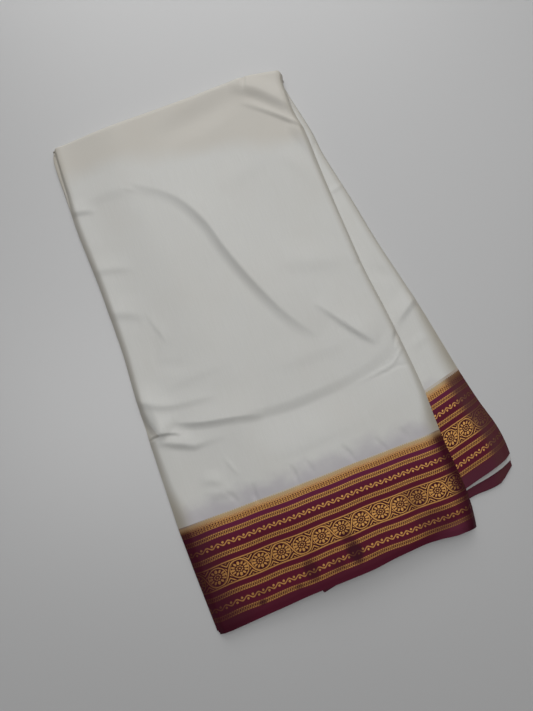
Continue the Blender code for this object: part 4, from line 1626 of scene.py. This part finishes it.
@dataclass
class FrontHalf:
    """The front half: its outer cloth, and the folds under it."""

    border_rows: int = 64
    columns: int = 172
    fold_rows: int = 20
    # Rows and columns of each hidden fold
    hidden_ground: tuple[int, int] = (104, 34)
    hidden_border: tuple[int, int] = (26, 24)
    ground_rows: tuple[tuple[int, float], ...] = (
        # Row and place along, with rows closer where the creases are sharper
        (0, -0.1812), (30, -0.112), (38, -0.096), (56, -0.074), (154, 0.180), (200, 0.2821))
    folds: tuple[Fold, ...] = (
        Fold(1.1, 2.6, 1.3, 0.55, 0.0, 2.2, 0.3, 1.0),
        Fold(2.6, 4.1, 1.0, 0.32, 0.0, 3.6, 0.3, 2.0),
        Fold(4.3, 5.7, 0.5, 0.12, 1.0, 2.8, 0.5, 3.0),
        Fold(5.7, 7.0, 0.3, 0.0, 0.85, 4.6, 0.5, 4.0),
        Fold(7.0, 8.35, 0.4, 0.0, 1.0, 3.6, 0.4, 5.0),
    )

    def build(self, silk: bpy.types.Material, zari: bpy.types.Material) -> None:
        """Build and dress the front half.

        Args:
            silk: finish of the ground.
            zari: finish of the border.
        """
        ground, border, fold = FrontGround(), FrontBorder(), TopFold()
        shares = np.linspace(0.0, 1.0, self.columns)
        rows, places = np.array(self.ground_rows).T
        runs = np.interp(np.arange(rows[-1] + 1), rows, (places - places[0]) / (places[-1] - places[0]))
        panel = ground.outer_cloth(runs, shares)
        turn = fold.outer_cloth(np.linspace(0.0, 1.0, self.fold_rows + 1), shares)
        hem = border.outer_cloth(np.linspace(0.0, 1.0, self.border_rows), shares)
        layers = ground.folds(self.folds, self.hidden_ground, False)
        hem_layers = border.folds(self.folds, self.hidden_border, True)
        cloth = make_piece("front_ground_cloth", "front_body", [panel, turn], silk, STRIP.wall)
        band = make_piece("front_border_cloth", "front_border", [hem], zari, STRIP.wall)
        make_piece("front_ground_folds", "front_layers_body", layers, silk)
        make_piece("front_border_folds", "front_layers_border", hem_layers, zari)


@dataclass
class FoldedEdge:
    """The hidden layers that turn round inside the folded top edge."""

    folds: tuple[Fold, ...] = FrontHalf.folds
    hidden_turn: tuple[int, int] = (18, 30)

    def build(self, silk: bpy.types.Material) -> None:
        """Build and dress the turned layers."""
        layers = TopFold().folds(self.folds, self.hidden_turn, False)
        make_piece("top_fold_layers", "fold_layers", layers, silk)


@dataclass
class BackHalf:
    """The back half: its outer cloth, the pale inner edge, and the folds under them."""

    rows: int = 200
    border_rows: int = 62
    # Rows and columns of each hidden fold
    hidden_ground: tuple[int, int] = (84, 34)
    hidden_border: tuple[int, int] = (22, 30)
    shown_hems: tuple[int, int] = (22, 40)
    hidden_columns: int = 12
    shown_columns: int = 56
    shown_from: float = 0.60
    folds: tuple[Fold, ...] = (
        Fold(1.1, 2.6, 1.3, 0.55, 0.0, 2.0, 0.3, 6.0),
        Fold(2.6, 4.15, 1.0, 0.32, 0.0, 2.8, 0.2, 7.0),
    )
    lower_folds: tuple[Fold, ...] = (
        Fold(4.25, 5.6, 0.5, 0.10, 0.0, 0.0, 0.4, 8.0),
        Fold(5.6, 7.0, 0.3, 0.0, 0.0, 0.0, 0.4, 9.0),
        Fold(7.0, 8.4, 0.5, 0.0, 0.0, 0.0, 0.4, 10.0),
    )
    under_folds: tuple[Fold, ...] = (
        Fold(5.8, 7.1, 2.0, 0.0, 0.0, 0.0, 0.3, 11.0),
        Fold(7.1, 8.4, 1.6, 0.0, 0.0, 0.9, 0.3, 12.0),
    )
    pale_edge: tuple[Fold, ...] = (Fold(4.45, 5.45, 1.5, 0.0, 0.0, 0.0, 0.1, 13.0),)

    def build(self, silk: bpy.types.Material, zari: bpy.types.Material, selvedge: bpy.types.Material) -> None:
        """Build and dress the back half.

        Args:
            silk: finish of the ground.
            zari: finish of the border.
            selvedge: finish of the pale inner edge.
        """
        ground, border = BackGround(), BackBorder()
        shares = np.concatenate((np.linspace(0.0, self.shown_from, self.hidden_columns, endpoint=False),
                                 np.linspace(self.shown_from, 1.0, self.shown_columns)))
        panel = ground.outer_cloth(np.linspace(0.0, 1.0, self.rows), shares)
        hem = border.outer_cloth(np.linspace(0.0, 1.0, self.border_rows), shares)
        layers = ground.folds(self.folds + self.lower_folds, self.hidden_ground, False)
        upper = border.folds(self.folds, self.hidden_border, True)
        pale = BackBorder(hem=STRIP.hem_inner).folds(self.pale_edge, self.shown_hems, True)
        under = BackBorder(hem=STRIP.hem_under).folds(self.under_folds, self.shown_hems, True)
        cloth = make_piece("back_ground_cloth", "back_body", [panel], silk, STRIP.wall)
        band = make_piece("back_border_cloth", "back_border", [hem], zari, STRIP.wall)
        make_piece("back_ground_folds", "back_layers_body", layers, silk)
        make_piece("back_border_folds", "back_layers_border", upper, zari)
        inner = make_piece("inner_selvedge", "inner_edge", pale, selvedge)
        make_piece("under_border_folds", "under_border", under, zari)


@dataclass(frozen=True)
class Lamp:
    """A soft rectangular lamp that faces the part."""

    name: str
    place: tuple[float, float, float]
    size: tuple[float, float]
    watts: float

    def build(self) -> None:
        """Hang the lamp."""
        data = bpy.data.lights.new(self.name, "AREA")
        data.shape = "RECTANGLE"
        data.size, data.size_y = self.size
        data.energy = self.watts
        lamp = bpy.data.objects.new(self.name, data)
        lamp.location = self.place
        lamp.rotation_mode = "QUATERNION"
        lamp.rotation_quaternion = Vector(self.place).to_track_quat("Z", "Y")
        bpy.context.scene.collection.objects.link(lamp)


@dataclass
class Studio:
    """The table, the soft light and the camera."""

    table_shade: Shade = Shade.screen(194, 194, 194)
    table_roughness: float = 0.42
    table_index: float = 1.6
    table_half: float = 3.0
    table_height: float = -0.0002
    camera_at: tuple[float, float, float] = (-0.0710, -0.1308, 0.6007)
    camera_axis: tuple[float, float, float] = (0.0697, 0.1551, -0.9854)
    camera_up: tuple[float, float, float] = (0.3485, 0.9218, 0.1697)
    lens: float = 27.04
    film_width: float = 36.0
    nearest: float = 0.01
    lamps: tuple[Lamp, ...] = (
        Lamp("ceiling_panel", (0.70, 1.25, 3.70), (5.2, 5.2), 95.0),
        Lamp("left_panel", (-0.93, 0.42, 3.00), (1.1, 1.1), 9.5),
        Lamp("far_window", (0.78, 3.00, 1.64), (3.2, 1.6), 39.0),
    )
    sky: float = 0.045
    sky_shade: Shade = Shade(0.95, 0.97, 1.0)

    def build(self) -> None:
        """Build the table, the lights and the camera."""
        self.build_table()
        self.build_lights()
        self.build_camera()

    def build_table(self) -> None:
        """The plain pale table."""
        data = bpy.data.meshes.new("table_top")
        half = self.table_half
        corners = ((-half, -half), (half, -half), (half, half), (-half, half))
        data.from_pydata([(*corner, self.table_height) for corner in corners], [], [(0, 1, 2, 3)])
        table = bpy.data.objects.new("table_top", data)
        bpy.context.scene.collection.objects.link(table)
        made, _, shader = new_material("pale_table")
        shader.inputs["Base Color"].default_value = (*self.table_shade.rgb, 1.0)
        shader.inputs["Roughness"].default_value = self.table_roughness
        shader.inputs["IOR"].default_value = self.table_index
        shader.inputs["Specular IOR Level"].default_value = 1.0
        data.materials.append(made)

    def build_lights(self) -> None:
        """Soft lamps past the folded edge and over the left side, and an even sky."""
        for lamp in self.lamps:
            lamp.build()
        world = bpy.data.worlds.new("even_sky")
        world.use_nodes = True
        background = world.node_tree.nodes["Background"]
        background.inputs["Color"].default_value = (*self.sky_shade.rgb, 1.0)
        background.inputs["Strength"].default_value = self.sky
        bpy.context.scene.world = world
        bpy.context.scene.view_settings.view_transform = "Standard"

    def build_camera(self) -> None:
        """The camera at the photograph's viewing angle."""
        back = -Vector(self.camera_axis).normalized()
        right = Vector(self.camera_up).cross(back).normalized()
        up = back.cross(right)
        data = bpy.data.cameras.new("camera")
        data.lens = self.lens
        data.sensor_width = self.film_width
        data.clip_start = self.nearest
        camera = bpy.data.objects.new("camera", data)
        bpy.context.scene.collection.objects.link(camera)
        turn = Matrix((right, up, back)).transposed().to_4x4()
        camera.matrix_world = Matrix.Translation(self.camera_at) @ turn
        bpy.context.scene.camera = camera


def main() -> None:
    """Build the whole scene in order."""
    logging.basicConfig(level=logging.INFO, format="%(message)s")
    threads, chart = thread_group(), chart_group()
    silk = Silk().material("ivory_crepe_silk", threads)
    # On the back half the painted shade along the side folds rises from further above the border, and no
    # facet is shaded
    back_silk = Silk(rim_shade_from=-150.0, facet_shade=0.0).material("back_crepe_silk", threads)
    front_zari = Zari(Side.FRONT).material("front_zari_border", threads, chart)
    # The back half's painted shade along its right side is browner and keeps little of the pale gold
    back_zari = Zari(Side.BACK, hem=Shade.screen(87, 36, 51), dull=Shade.screen(108, 74, 54), pale_kept=0.1,
                     shaded_ground=Shade.screen(85, 43, 48), shaded_ivory=Shade.screen(178, 165, 152),
                     ).material("back_zari_border", threads, chart)
    selvedge = Selvedge().material("pale_selvedge", threads)
    FrontHalf().build(silk, front_zari)
    FoldedEdge().build(silk)
    BackHalf().build(back_silk, back_zari, selvedge)
    Studio().build()


if __name__ == "__main__":
    main()
